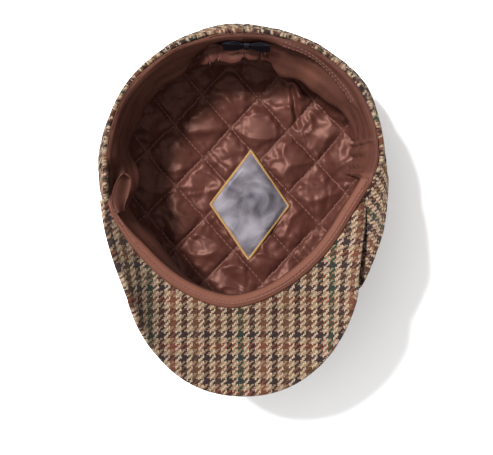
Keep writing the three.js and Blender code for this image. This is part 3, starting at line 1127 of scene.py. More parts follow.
@dataclass(frozen=True)
class Peak:
    """A bent crescent of board covered in tweed on both sides, seamed round its outer edge."""

    columns: int = 170
    rows: int = 46
    thickness: float = 3.6 * MM
    rim_round: float = 2.6 * MM
    welt: float = 0.35 * MM  # how far the seam allowance lifts the cover inside the edge
    welt_at: float = 5 * MM
    nap: Ripple = Ripple(16 * MM, seed=31)
    reach: float = 0.98  # the share of its modelled width that the cloth's edge reaches
    crease_x: float = 56 * MM
    crease_width: float = 18 * MM
    wing_lift: float = 10 * MM
    right_lift: float = 0.6  # the right wing's lift, as a share of the left one's
    edge_drop: float = 2 * MM
    wing_curl: float = 9 * MM  # how far the right wing's edge turns down
    curl_x: Pair = (72 * MM, 84 * MM)
    curl_y: Pair = (-64 * MM, -44 * MM)
    nap_depth: float = 0.15 * MM
    lean: float = 0.1  # how much the cloth's columns spread outwards towards the band

    def build(self, tweed: Material) -> None:
        """Makes the peak."""
        share = np.sin(np.linspace(-1, 1, self.columns) * math.pi / 2)
        share = lerp(np.linspace(-1, 1, self.columns), share, 0.6)
        out = 0.5 - 0.5 * np.cos(np.linspace(0, math.pi, self.rows))
        shares, outs = np.meshgrid(share, out, indexing="ij")
        in_front = 1 - smoothstep(np.abs(shares), 0.5, 0.8)
        face = PEAK.point(shares, outs * lerp(1, self.reach, in_front))
        left_wing = smoothstep(-face[..., 0], self.crease_x, self.crease_x + self.crease_width)
        left_wing *= smoothstep(-face[..., 1], 0, 40 * MM)
        right_wing = smoothstep(face[..., 0], self.crease_x - 12 * MM, self.crease_x + 24 * MM)
        curl = smoothstep(face[..., 0], *self.curl_x) * smoothstep(face[..., 1], *self.curl_y)
        free = smoothstep(outs, 0.0, 0.35)
        lifted = left_wing + self.right_lift * right_wing
        face[..., 2] += self.wing_lift * free * lifted - self.edge_drop * free
        face[..., 2] -= self.wing_curl * curl
        normal = surface_normals(face)
        normal *= np.sign(normal[..., 2:3])
        middle = face - normal * self.thickness / 2
        run = arc_lengths(face, 1)
        to_edge = np.minimum(run, run[:, -1:] - run)
        along = arc_lengths(face[:, self.rows // 2 : self.rows // 2 + 1], 0)
        to_edge = np.minimum(to_edge, np.minimum(along, along[-1] - along))
        rounding = np.sqrt(1 - (1 - np.clip(to_edge / self.rim_round, 0.0, 1)) ** 2)
        half = self.thickness / 2 * np.maximum(rounding, 0.06)
        from_rim = run[:, -1:] - run
        lift = self.welt * np.exp(-(((from_rim - self.welt_at) / (2.2 * MM)) ** 2))
        lift += self.nap_depth * self.nap(face[..., 0], face[..., 1])
        upper = middle + normal * (half + lift * rounding)[..., None]
        lower = middle - normal * half[..., None]
        piece = cloth_wall("tweed_peak", upper, lower, self.places(face))
        put_in_place(dress(piece, tweed), "tweed", "peak")

    def places(self, face: Array) -> Array:
        """The peak's places on the flat cloth, its grain running to the tip."""
        x, y, z = face[..., 0], face[..., 1], face[..., 2]
        bend = z - PEAK.front.front_z
        spread = 1 + self.lean * smoothstep(y, -60 * MM, 30 * MM)
        across = x / spread + np.sign(x) * 0.25 * np.maximum(bend, 0)
        return np.stack([across, y], axis=-1)


# ---- sweatband


@dataclass(frozen=True)
class Sweatband:
    """A brown cloth band inside the opening. In front it turns over the peak's seam as a flat
    ring. Behind, it leans in, with a pressed fold on the right, a pleat where the ring ends
    and a slack tongue on the left."""

    columns: int = 720
    rows: int = 50
    thickness: float = 0.9 * MM
    front_path: tuple[Pair, ...] = (
        (0.9, 0.9), (0.1, -0.7), (-1.5, -1.5), (-3.5, -1.5), (-5.5, -0.8), (-6.8, 0.6),
        (-7.2, 2.8), (-7.0, 9.0), (-6.6, 18.0), (-6.2, 30.0),
    )  # distance out and depth in millimetres, from the seam to the free edge
    back_path: tuple[Pair, ...] = (
        (-0.2, 2.2), (-0.6, 0.7), (-1.8, 1.0), (-3.4, 3.6), (-5.0, 8.0), (-6.8, 13.5),
        (-8.8, 20.0), (-10.6, 26.0), (-12.2, 31.0), (-13.2, 35.5),
    )
    ring_right: float = math.radians(100)  # where the flat ring ends, from the back clockwise
    ring_left: float = math.radians(249)
    pleat: Pair = (math.radians(83), math.radians(99))
    pressed_fold: Pair = (math.radians(17), math.radians(66))
    sagging: Pair = (math.radians(252), math.radians(266))  # behind the tongue
    sag: float = 8 * MM
    left_side: Pair = (math.radians(205), math.radians(262))
    left_lean: float = 8 * MM
    right_side: Pair = (math.radians(14), math.radians(62))
    right_lean: float = 9 * MM
    back_side: Pair = (2.65, 3.3)  # angles from the front
    back_stand: float = 4.5 * MM
    back_share: float = 0.62  # how much of its depth the band keeps behind the bow
    stitch_line: float = 4.4 * MM  # from the seam to the topstitching
    ring_taper: float = 0.3  # how narrow the ring gets at its left end
    ring_middle: float = math.radians(174.5)
    pleat_in: float = 2.8 * MM
    tuck_depth: float = 1.1 * MM
    tuck_rate: float = 60.0  # the tucks' waves, in radians for each radian of turn
    ridge_height: float = 1.6 * MM
    ridge_width: float = 1.1 / 88  # an angle, 1.1 mm along the seam
    lip_depth: Pair = (5 * MM, 15 * MM)  # at the pressed fold's two ends
    lip_in: float = 1.8 * MM
    below_lip_out: float = 2.2 * MM
    slack_depth: float = 1.4 * MM
    round_radius: float = 90 * MM  # of the circle on which the unevenness is read
    # painted light: a pool of light on the right back wall, and the left back painted half as pale
    lit_patch: Pair = (math.radians(40), 27 * MM)  # a paler place: angle and depth
    lit_back_left: Pair = (math.radians(300), math.radians(352))  # half as pale
    creases: Ripple = Ripple(40 * MM, seed=41)
    slack: Ripple = Ripple(34 * MM, seed=42)
    crimps: Ripple = Ripple(9 * MM, seed=43, stretch=5)
    topstitch: Stitching = Stitching("topstitching", 2.1 * MM, 0.5 * MM, 0.2 * MM, 0.2 * MM)
    topstitch_pitch: float = 2.9 * MM

    def lip(self, angle: Array) -> Array:
        """How far down the band its pressed fold lies."""
        low, high = self.pressed_fold
        return lerp(*self.lip_depth, np.clip((angle - low) / (high - low), 0, 1))

    def sections(self, angle: Array) -> tuple[Array, Array]:
        """Each column's section across the band, and its share of the flat ring's shape."""
        front = smooth_line(np.array(self.front_path) * MM, self.rows)
        back = smooth_line(np.array(self.back_path) * MM, self.rows)
        right_step = smoothstep(angle, self.ring_right - 0.02, self.ring_right + 0.02)
        left_end = 1 - smoothstep(angle, self.ring_left - 0.09, self.ring_left + 0.1)
        ring = right_step * left_end
        taper = lerp(1, self.ring_taper, smoothstep(angle, self.ring_left - 0.5, self.ring_left))
        down = np.broadcast_to(front[:, 1], (self.columns, self.rows))
        tapered = np.stack([front[None, :, 0] * taper, down], -1)
        rows = np.arange(self.rows)
        reached = rows * lerp(1, self.back_share, behind_bow(angle))
        behind = np.stack([np.interp(reached, rows, part) for part in back.T], axis=-1)
        return lerp(behind, tapered, ring[..., None]), ring

    def leaning(self, angle: Array, share: Array, out: Array) -> Array:
        """The distances out of a band that leans in at its sides and stands up at the back."""
        hang = smoothstep(share, 0.3, 1.0)
        out = out - self.left_lean * window(angle, *self.left_side, 0.6) * hang
        out = out - self.right_lean * window(angle, *self.right_side, 0.3) * hang
        at_back = window((angle + math.pi) % (2 * math.pi), *self.back_side, 0.2)
        return out + self.back_stand * at_back * hang

    def pleated(self, angle: Array, share: Array, out: Array) -> Array:
        """The same distances with the pleat, two ridges with small tucks between them."""
        pleat = window(angle, *self.pleat, math.radians(1.2))
        out = out - pleat * self.pleat_in * smoothstep(share, 0.05, 0.5)
        tucks = np.sin((angle - self.pleat[0]) * self.tuck_rate) * smoothstep(share, 0.1, 0.6)
        out = out + pleat * self.tuck_depth * tucks
        for side in self.pleat:
            ridge = np.exp(-(((angle - side) / self.ridge_width) ** 2))
            out = out - self.ridge_height * ridge * smoothstep(share, 0.02, 0.2)
        return out

    def pressed(self, angle: Array, run: Array, out: Array) -> Array:
        """The same distances with the pressed fold, its lip in and the cloth below it out."""
        lip = self.lip(angle)
        fold = window(angle, *self.pressed_fold, math.radians(8))
        over = smoothstep(run, lip - 6 * MM, lip) * (1 - smoothstep(run, lip, lip + 1.3 * MM))
        out = out - fold * self.lip_in * over
        return out + fold * self.below_lip_out * smoothstep(run, lip, lip + 2 * MM)

    def relief(self, angle: Array, run: Array, ring: Array) -> Array:
        """How far creases, crimps and the stitched groove lift the cloth off its shape."""
        groove = np.exp(-(((run - self.stitch_line) / (0.7 * MM)) ** 2))
        welt = np.exp(-(((run - self.stitch_line) / (2.6 * MM)) ** 2)) * (1 - groove)
        stitched = ring * (0.2 * MM * welt - 0.35 * MM * groove)
        round_x, round_y = self.round_radius * np.sin(angle), self.round_radius * np.cos(angle)
        creased = self.creases(round_x, round_y + run * 2)
        crimped = self.crimps(run, np.broadcast_to(angle, run.shape) * OPENING.back)
        crimped = crimped * smoothstep(run, 2 * MM, 8 * MM)
        return (0.5 * MM * creased + 0.35 * MM * crimped) * (1 - 0.8 * ring) + stitched

    def surface(self) -> tuple[Array, Array]:
        """The band's inner face and each point's distance run down from the seam."""
        angle = round_columns(self.columns)[:, None]
        section, ring = self.sections(angle)
        run = arc_lengths(section, 1)
        share = run / run[:, -1:]
        out = self.leaning(angle, share, section[..., 0])
        sagging = window(angle, *self.sagging, 0.12) * (1 - smoothstep(share, 0.2, 0.6))
        down = section[..., 1] + self.sag * sagging
        round_x, round_y = self.round_radius * np.sin(angle), self.round_radius * np.cos(angle)
        slack = self.slack(round_x, round_y) * smoothstep(share, 0.25, 1.0)
        out = out + self.slack_depth * slack * (1 - 0.6 * ring)
        out = self.pressed(angle, run, self.pleated(angle, share, out))
        grid = sweep(angle, out, down)
        normal = facing(grid, OPENING.point(angle[:, 0]).mean(axis=0))
        return grid + normal * self.relief(angle, run, ring)[..., None], run

    def paleness(self, run: Array) -> Array:
        """How pale each point's cloth is made: the ring's face, paler partly as the cloth's own
        face and partly as painted sheen, and painted light on the right back wall and on the left
        back.
        """
        turn = round_columns(self.columns)[:, None]
        evenly = np.linspace(0, 2 * math.pi, self.columns)
        # the ring's face is paler, partly as the cloth's own paler face and partly as painted sheen
        # where light falls on the flat ring
        ring = 1 - smoothstep(np.abs(evenly - self.ring_middle), 1.28, 1.36)
        pale = ring[:, None] * (1 - smoothstep(run, 9 * MM, 13 * MM))
        # painted light: a pool of light on the right back wall, and the left back half as pale, lit
        # more as it faces up
        turned, lowered = turn - self.lit_patch[0], run - self.lit_patch[1]
        lit_patch = np.exp(-((turned / 0.15) ** 2 + (lowered / (6 * MM)) ** 2))
        lit_back_left = 0.5 * window(turn, *self.lit_back_left, 0.2)
        return np.maximum(np.maximum(pale, lit_patch), lit_back_left)

    def sewn(self, grid: Array, run: Array, normal: Array, thread: Material) -> Piece:
        """The topstitching, a line along the ring and two along the pressed fold.

        Args:
            grid: the band's inner face.
            run: each point's distance run down from the seam.
            normal: the way out of the cloth at each point.
            thread: the thread's material.

        Returns:
            The stitches' piece.
        """
        turn = round_columns(self.columns)
        in_ring = (turn > self.ring_right) & (turn < self.ring_left - 0.05)
        low, high = self.pressed_fold
        in_fold = (turn > low + 0.05) & (turn < high - 0.03)
        fold_line = self.lip(turn) - 1.2 * MM
        lines = [(in_ring, np.full(self.columns, self.stitch_line)), (in_fold, fold_line)]
        lines.append((in_fold, fold_line - 2 * MM))
        parts = []
        for shown, depth in lines:
            column = np.nonzero(shown)[0]
            row = np.argmin(np.abs(run - depth[:, None]), axis=1)[column]
            share = (depth[column] - run[column, row])[:, None]
            down = unit(grid[column, row + 1] - grid[column, row - 1])
            line, up = grid[column, row] + down * share, normal[column, row]
            parts.append(evenly_along(line, self.topstitch_pitch, up))
        at, along, ups = (np.concatenate(values) for values in zip(*parts))
        return put_in_place(self.topstitch.sew(at, along, unit(ups), thread), "sweatband_cloth")

    def build(self, cloth: Material, thread: Material) -> None:
        grid, run = self.surface()
        normal = facing(grid, grid[:, 0].mean(axis=0))
        round_band = arc_lengths(np.concatenate([grid[:, 8], grid[:1, 8]]), 0)
        across = np.broadcast_to(round_band[:-1, None], run.shape)
        places = np.stack([across, run], axis=-1)
        behind = grid - normal * self.thickness
        piece = cloth_wall("sweatband_cloth", grid, behind, places, Layers.RING)
        # the `turned` attribute carries the painted light and sheen, and the ring's paler face
        turned = piece.data.attributes.new("turned", "FLOAT", "POINT")
        pale = self.paleness(run).ravel()
        turned.data.foreach_set("value", np.tile(pale, 2).astype(np.float32))
        put_in_place(dress(piece, cloth), "sweatband_cloth", "sweatband")
        tongue = self.tongue(cloth)
        stitches = self.sewn(grid, run, normal, thread)

    def tongue(self, cloth: Material) -> Piece:
        """The slack end of the front ring, a rounded tongue that stands up on the left."""
        lengths, widths = np.linspace(0, 1, 44), np.linspace(-1, 1, 30)
        share, side = np.meshgrid(lengths, widths, indexing="ij")
        angle = lerp(math.radians(243), math.radians(261), share)
        tip = np.clip(1 - np.maximum(share - 0.55, 0) ** 2 / 0.2026, 0, 1)  # rounds to the end
        half_width = 5.6 * MM * np.sqrt(tip)
        half_width = half_width * lerp(0.45, 1.0, smoothstep(share, 0, 0.4))
        centre = lerp(-5.4 * MM, -10.5 * MM, smoothstep(share, 0.05, 1.0))
        out = centre + side * half_width
        cup = 2.6 * MM * (1 - side**2) * smoothstep(share, 0.1, 0.5)
        down = lerp(-0.6 * MM, 3.5 * MM, share) + cup + 8 * MM * smoothstep(-side, -0.6, 1.0)
        points = sweep(angle, out, down)
        normal = surface_normals(points)
        normal *= np.sign(normal[..., 2:3])
        rim = 1 - 0.75 * np.abs(side) ** 8
        behind = points - normal * (1.4 * MM * rim)[..., None]
        piece = dress(cloth_wall("sweatband_tongue", points, behind, laid_flat(points)), cloth)
        return put_in_place(piece, "sweatband_cloth")


# ---- quilted lining


@dataclass(frozen=True)
class ClothSettings:
    """How the lining's satin behaves while it is blown up between its quilting seams."""

    frames: int = 22
    pressure: float = 8.0
    slack: float = 0.018  # how much longer the satin is than the wadding under it
    stiffness: float = 15.0
    bending: float = 0.06
    mass: float = 0.15
    quality: int = 5
    most_moved: float = 6 * MM

    def add_to(self, sheet: Piece, held: str) -> bpy.types.Modifier:
        """Adds the simulation to a sheet that is held by a group of its vertices."""
        modifier = sheet.modifiers.new("satin", "CLOTH")
        cloth = modifier.settings
        cloth.vertex_group_mass = held
        cloth.quality = self.quality
        cloth.mass = self.mass
        cloth.tension_stiffness = self.stiffness
        cloth.compression_stiffness = self.stiffness
        cloth.shear_stiffness = self.stiffness / 3
        cloth.bending_stiffness = self.bending
        cloth.shrink_min = -self.slack
        cloth.use_pressure = True
        cloth.uniform_pressure_force = self.pressure
        cloth.effector_weights.gravity = 0
        modifier.collision_settings.use_collision = False
        modifier.collision_settings.use_self_collision = False
        modifier.point_cache.frame_start = 1
        modifier.point_cache.frame_end = self.frames
        return modifier

    def run(self, sheet: Piece, pinned: Array) -> Array:
        """Simulates a sheet held at some of its vertices.

        Args:
            sheet: the sheet, as it starts.
            pinned: whether each vertex is held.

        Returns:
            Where each vertex ends up, none further than the cap from where it started.
        """
        start = np.zeros(len(sheet.data.vertices) * 3)
        sheet.data.vertices.foreach_get("co", start)
        group = sheet.vertex_groups.new(name="sewn")
        group.add(np.nonzero(pinned)[0].tolist(), 1.0, "REPLACE")
        modifier = self.add_to(sheet, group.name)
        scene = bpy.context.scene
        for moment in range(1, self.frames + 1):
            scene.frame_set(moment)
        settled = sheet.evaluated_get(bpy.context.evaluated_depsgraph_get())
        end = np.zeros_like(start)
        settled.to_mesh().vertices.foreach_get("co", end)
        settled.to_mesh_clear()
        sheet.modifiers.remove(modifier)
        sheet.vertex_groups.remove(group)
        scene.frame_set(1)
        moved = (end - start).reshape(-1, 3)
        length = np.linalg.norm(moved, axis=1, keepdims=True)
        capped = moved * np.minimum(1, self.most_moved / np.maximum(length, 1e-9))
        return start.reshape(-1, 3) + capped


@dataclass(frozen=True)
class FlatBowl:
    """The lining laid flat: each place on the flat cloth has a place on the bowl.

    A flat place's direction from the crown's middle keeps, and its distance is run along the
    bowl's surface, so that the cloth isn't stretched down the walls.
    """

    top_level: float = 0.955
    depth: float = PANEL_THICKNESS + GAP + LINING_THICKNESS
    angles: int = 360
    levels: int = 160
    crown: Crown = Crown()
    clear: float = 2.6 * MM  # from the crown's inner face

    @cached_property
    def table(self) -> tuple[Array, Array]:
        """For each angle, the rim's distance and the level at even shares of that distance."""
        angle = round_columns(self.angles)
        level = np.linspace(0, self.top_level, self.levels)
        angle_grid, level_grid = np.meshgrid(angle, level, indexing="ij")
        points = self.on_bowl(angle_grid.ravel(), level_grid.ravel())
        points = points.reshape(self.angles, self.levels, 3)
        from_middle = np.linalg.norm(points[:, :1, :2] - CROWN_CENTRE, axis=-1)
        run = arc_lengths(points, 1) + from_middle
        rim = run[:, -1]
        shares = np.linspace(0, 1, self.levels)
        found = np.stack([np.interp(shares * rim[i], run[i], level) for i in range(self.angles)])
        return rim, found

    def on_bowl(self, angle: Array, level: Array) -> Array:
        """Points of the lining's mean surface, kept inside the crown."""
        points = crown_point(angle, level) + self.depth * crown_normal(angle, level)
        return self.crown.keep_inside(points, self.clear)

    def place(self, flat: Array) -> tuple[Array, Array, Array, Array]:
        """Each flat place's angle, level, distance from the middle and its rim's distance."""
        rim, found = self.table
        away = flat - CROWN_CENTRE
        angle = np.arctan2(away[:, 0], away[:, 1]) % (2 * math.pi)
        distance = np.linalg.norm(away, axis=1)
        turn = angle / (2 * math.pi) * self.angles
        low = np.floor(turn).astype(int) % self.angles
        high, part = (low + 1) % self.angles, turn - np.floor(turn)
        rim_here = lerp(rim[low], rim[high], part)
        step = np.clip(distance / rim_here, 0, 1) * (self.levels - 1)
        row = np.minimum(step.astype(int), self.levels - 2)
        rest = step - row
        level = lerp(
            lerp(found[low, row], found[low, row + 1], rest),
            lerp(found[high, row], found[high, row + 1], rest),
            part,
        )
        return angle, level, distance, rim_here


@dataclass(frozen=True)
class Label:
    """A diamond of grey satin with a gold embroidered edge, bare inside it."""

    width: float = 59 * MM
    length: float = 82 * MM
    centre: Pair = (4.5 * MM, 2.5 * MM)
    turn: float = math.radians(-1.2)
    thickness: float = 0.8 * MM
    cells: int = 60
    border: float = 1.8 * MM
    looseness: float = 1.2 * MM  # how far its middle stands off the lining
    button_rise: float = 2.7 * MM
    wave_height: float = 1.5 * MM
    waves: Ripple = Ripple(34 * MM, seed=61)
    fine_height: float = 0.14 * MM
    fine: Ripple = Ripple(12 * MM, seed=62)
    edging: Stitching = Stitching("gold_edging", 1.8 * MM, 0.4 * MM, 0.25 * MM, 0.15 * MM)
    edging_pitch: float = 0.34 * MM
    edging_slant: float = math.radians(68)

    def inside(self, flat: Array) -> Array:
        """How far out each place is, 1 being the diamond's edge."""
        away = flat - np.array(self.centre)
        return np.abs(away[..., 0]) / (self.width / 2) + np.abs(away[..., 1]) / (self.length / 2)

    def height(self, flat: Array) -> Array:
        """The label's lower face, laid over the lining and the rise above the button."""
        from_middle = np.linalg.norm(flat - CROWN_CENTRE, axis=-1)
        over_button = 1 - smoothstep(from_middle, 11 * MM, 28 * MM)
        rest = PANEL_THICKNESS + LINING_THICKNESS + 3 * GAP
        edge = smoothstep(self.inside(flat), 0.8, 1.0)
        wave = self.wave_height * self.waves(flat[..., 0], flat[..., 1] * 0.8)
        wave = wave + self.fine_height * self.fine(flat[..., 0], flat[..., 1])
        lift = (self.looseness + wave) * (1 - 0.8 * edge)
        return rest + self.button_rise * over_button + np.maximum(lift, 0)

    def corners(self) -> Array:
        """The diamond's four corners in plan, from the back one, clockwise from above."""
        cos, sin = math.cos(self.turn), math.sin(self.turn)
        points = [(0, 0.5), (0.5, 0), (0, -0.5), (-0.5, 0)]
        flat = np.array(points) * (self.width, self.length)
        return flat @ np.array([[cos, sin], [-sin, cos]]) + self.centre

    def plan(self, p: Array, q: Array) -> Array:
        """Places in plan for two shares along the diamond's sides, each from 0 to 1."""
        back, right, front, left = self.corners()
        p, q = p[..., None], q[..., None]
        return (1 - p) * (1 - q) * back + p * (1 - q) * right + p * q * front + (1 - p) * q * left

    def build(self, satin: Material, gold: Material) -> None:
        shares = np.linspace(0, 1, self.cells)
        p, q = np.meshgrid(shares, shares, indexing="ij")
        flat = self.plan(p, q)
        lower = np.concatenate([flat, self.height(flat)[..., None]], axis=-1)
        rim = smoothstep(np.minimum(np.minimum(p, 1 - p), np.minimum(q, 1 - q)), 0, 0.02)
        upper = lower + np.array([0, 0, 1]) * (self.thickness * lerp(0.35, 1, rim))[..., None]
        piece = dress(cloth_wall("diamond_label", upper, lower, flat), satin)
        put_in_place(piece, "label_satin", "label")

        to_side = self.width * self.length / 2 / np.hypot(self.width, self.length)
        inset = 1 - self.border / 2 / to_side
        ring = (self.corners() - self.centre) * inset + self.centre
        middles, runs = [], []
        for i in range(4):
            start, end = ring[i], ring[(i + 1) % 4]
            count = int(np.linalg.norm(end - start) / self.edging_pitch)
            part = ((np.arange(count) + 0.5) / count)[:, None]
            middles.append(lerp(start, end, part))
            runs.append(np.broadcast_to(unit(end - start), (count, 2)))
        middle, run = np.concatenate(middles), np.concatenate(runs)
        cos, sin = math.cos(self.edging_slant), math.sin(self.edging_slant)
        slanted = run @ np.array([[cos, sin], [-sin, cos]])
        at = np.column_stack([middle, self.height(middle) + self.thickness])
        reach = 0.5 * MM
        ahead, astern = (self.height(middle + slanted * step) for step in (reach, -reach))
        slope = (ahead - astern) / 2
        along = unit(np.column_stack([slanted, slope / reach]))
        up = np.tile((0.0, 0.0, 1.0), (len(at), 1))
        edging = put_in_place(self.edging.sew(at, along, up, gold), "label_satin")


@dataclass(frozen=True)
class Lining:
    """Brown satin quilted in slanted cells over thin wadding, a bowl inside the crown.

    The quilting seams are a lattice on the flat cloth. The satin between them is longer than
    the wadding, so a cloth simulation puckers it along the seams.
    """

    label: Label
    origin: Pair = (-9.5 * MM, 58.9 * MM)  # where two seams cross
    first_side: Pair = (-20.5 * MM, -21.5 * MM)
    second_side: Pair = (21.5 * MM, -23.7 * MM)
    cells: int = 8  # either side of the origin
    steps: int = 18  # across each cell
    overhang: float = 0.6  # how far past the rim a vertex is kept, in steps
    under_label: float = 1.03  # how far out the label holds the satin down, 1 being its edge
    lowest: float = -1.3 * MM  # how far the satin may sink below the wadding's mean surface
    bowl: FlatBowl = FlatBowl()
    settings: ClothSettings = ClothSettings()
    dome: float = 1.5 * MM
    sunk: float = 1.2 * MM
    wrinkle: float = 1.2 * MM
    wrinkles: Ripple = Ripple(30 * MM, seed=5)
    pucker: float = 0.55 * MM
    puckers: Ripple = Ripple(8 * MM, seed=58, stretch=4)
    crest: float = 1.8 * MM
    sharpness: float = 1.7  # of the crests
    crests: Ripple = Ripple(30 * MM, seed=57)
    fold_from: Pair = (41 * MM, 58 * MM)
    fold_to: Pair = (36 * MM, 88 * MM)
    fold_depth: float = 3 * MM
    back_gathers: Pair = (2.55, 3.75)  # angles from the front
    right_gathers: Pair = (0.85, 1.75)  # angles from the back
    gather: float = 4.5 * MM
    pouch: float = 13 * MM
    gather_wave: float = 9.5 * MM
    tucked_at: Pair = (-2.6 * MM, 13 * MM)  # out and down, behind the short band
    raised_run: float = 34 * MM  # how far from its rim the lining is drawn up there
    gather_sway: Ripple = Ripple(30 * MM, seed=52)
    stitch_pitch: float = 3.5 * MM
    stitches: Stitching = Stitching("quilting", 2.1 * MM, 0.55 * MM, 0.15 * MM, 0.35 * MM)
    fill: float = 0.3

    def gathers(self, angle: Array, to_rim: Array) -> Array:
        """Heights of the ridges that lie along the rim at the back and on the right."""
        back = window((angle + math.pi) % (2 * math.pi), *self.back_gathers, 0.6)
        right = window(angle, *self.right_gathers, 0.5)
        near = 1 - smoothstep(to_rim, 18 * MM, 46 * MM)
        below_band = window(to_rim, 4 * MM, 30 * MM, 14 * MM)
        sway = self.gather_sway(np.sin(angle) * 0.1, np.cos(angle) * 0.1)
        ridge = np.sin(2 * math.pi * (to_rim / self.gather_wave + 0.35 * sway))
        pouch = self.pouch * back * below_band
        return self.gather * ridge * near * (back + 0.8 * right) + pouch

    def puckered(self, p: Array, q: Array) -> Array:
        """Heights of the short creases that run away from each seam's stitches."""
        sides = np.linalg.norm(np.array([self.first_side, self.second_side]), axis=1)
        height = np.zeros(len(p))
        for along, away in ((0, 1), (1, 0)):
            share = (p, q)[away]
            gap = np.abs(share - np.round(share)) * sides[away]
            near = np.exp(-((gap / (5.5 * MM)) ** 2)) - np.exp(-((gap / (1.2 * MM)) ** 2))
            waves = self.puckers((p, q)[along] * sides[along], share * sides[away])
            height += self.pucker * waves * near
        return height

    def deep_fold(self, flat: Array) -> Array:
        """The height of one deep fold, that runs down from the sweatband on the right."""
        start, end = np.array(self.fold_from), np.array(self.fold_to)
        way = end - start
        share = ((flat - start) @ way) / (way @ way)
        away = np.linalg.norm(flat - start - np.clip(share, 0, 1)[:, None] * way, axis=1)
        shoulders = np.exp(-((away / (6 * MM)) ** 2)) * 0.6
        along = smoothstep(share, -0.3, 0.3)
        return self.fold_depth * (shoulders - 1.6 * np.exp(-((away / (1.8 * MM)) ** 2))) * along

    def seated(self, flat: Array) -> tuple[Array, Array]:
        """Where flat places lie on the wadding's mean surface, and the way into the cap there."""
        angle, level, distance, rim = self.bowl.place(flat)
        normal = crown_normal(angle, level)
        lift = self.gathers(angle, rim - distance)
        out, down = np.broadcast_to(np.array(self.tucked_at)[:, None, None], (2, len(angle), 1))
        under_band = sweep(angle[:, None], out, down)[:, 0]
        drawn_up = under_band - self.bowl.on_bowl(angle, np.full_like(angle, self.bowl.top_level))
        drawn = behind_bow(angle) * (1 - smoothstep(rim - distance, 0, self.raised_run))
        seat = self.bowl.on_bowl(angle, level) + drawn_up * drawn[:, None]
        raised = seat + normal * lift[:, None]
        kept = self.bowl.crown.keep_inside(raised, self.bowl.clear)
        return lerp(kept, raised, drawn[:, None]), normal

    def cut_grid(self) -> tuple[Array, Array, Array, Array, Array]:
        """Cuts the cloth's grid to the bowl's rim.

        Returns:
            Each vertex's flat place, the place it is moved to so that it ends at the rim, its
            two numbers along the cells' sides, whether it is at the rim, and the quads.
        """
        count = self.cells * self.steps
        number = np.arange(-count, count + 1)
        first, second = np.meshgrid(number, number, indexing="ij")
        sides = np.array([self.first_side, self.second_side]) / self.steps
        flat = np.array(self.origin) + np.stack([first, second], axis=-1) @ sides
        _, _, distance, rim = self.bowl.place(flat.reshape(-1, 2))
        distance, rim = distance.reshape(first.shape), rim.reshape(first.shape)
        kept = distance <= rim + self.overhang * float(np.linalg.norm(sides[0]))
        quad = kept[:-1, :-1] & kept[1:, :-1] & kept[1:, 1:] & kept[:-1, 1:]
        used = np.zeros_like(kept)
        for i, j in ((0, 0), (1, 0), (1, 1), (0, 1)):
            used[i : i + quad.shape[0], j : j + quad.shape[1]] |= quad
        index = np.full(kept.shape, -1)
        index[used] = np.arange(used.sum())
        i, j = np.nonzero(quad)
        quads = np.stack([index[i, j], index[i + 1, j], index[i + 1, j + 1], index[i, j + 1]], 1)
        uses = np.zeros(used.sum(), int)
        np.add.at(uses, quads.ravel(), 1)
        at_rim = uses < 4
        run, limit = distance[used], rim[used]
        held_run = np.where(at_rim, limit, np.minimum(run, limit))
        away = flat[used] - CROWN_CENTRE
        held = CROWN_CENTRE + away * (held_run / np.maximum(run, 1e-9))[:, None]
        return flat[used], held, np.stack([first[used], second[used]]), at_rim, quads

    def build(self, satin: Material, thread: Material) -> None:
        flat, held, numbers, at_rim, quads = self.cut_grid()
        base, normal = self.seated(held)
        p, q = numbers / self.steps
        dome = np.abs(np.sin(math.pi * p) * np.sin(math.pi * q))
        on_seam = (numbers % self.steps == 0).any(axis=0)
        covered = self.label.inside(flat) < self.under_label
        wrinkle = self.wrinkle * self.wrinkles(flat[:, 0], flat[:, 1])
        height = self.dome * dome**0.5 + wrinkle * dome**0.7 - self.sunk * (1 - dome) ** 8
        start = base + normal * (height * ~covered)[:, None]
        sheet = new_object("quilted_lining", start, [tuple(quad) for quad in quads.tolist()])
        pinned = on_seam | covered | at_rim
        top = self.settings.run(sheet, pinned)
        bpy.data.objects.remove(sheet)
        crests = np.abs(self.crests(flat[:, 0], flat[:, 1]))
        crests = self.crest * np.clip(1 - self.sharpness * crests, 0, 1) ** 2 * dome**0.5
        lift = crests + self.puckered(p, q) + self.deep_fold(flat)
        top = top + normal * (lift * ~covered)[:, None]
        above = ((top - base) * normal).sum(axis=1)
        top = top + normal * np.maximum(self.lowest - above, 0)[:, None]

        lower = base - normal * (LINING_THICKNESS - 0.15 * MM)
        points = np.concatenate([top, lower])
        total = len(top)
        faces = quads.tolist() + (quads[:, ::-1] + total).tolist() + self.rim_faces(quads, total)
        faces = ordered_outwards(points, [tuple(face) for face in faces])
        piece = new_object("quilted_lining", points, faces)
        write_uv(piece, np.tile(flat, (2, 1)))
        self.smooth(piece, on_seam & ~covered & ~at_rim)
        put_in_place(dress(piece, satin), "satin", "lining")
        self.quilt(thread)

    @staticmethod
    def rim_faces(quads: Array, total: int) -> list[list[int]]:
        """The faces that close the rim between the upper layer and the lower one."""
        edges = np.concatenate([quads[:, [k, (k + 1) % 4]] for k in range(4)])
        twins = {tuple(edge) for edge in edges.tolist()}
        open_edges = [edge for edge in twins if (edge[1], edge[0]) not in twins]
        return [[b, a, a + total, b + total] for a, b in sorted(open_edges)]

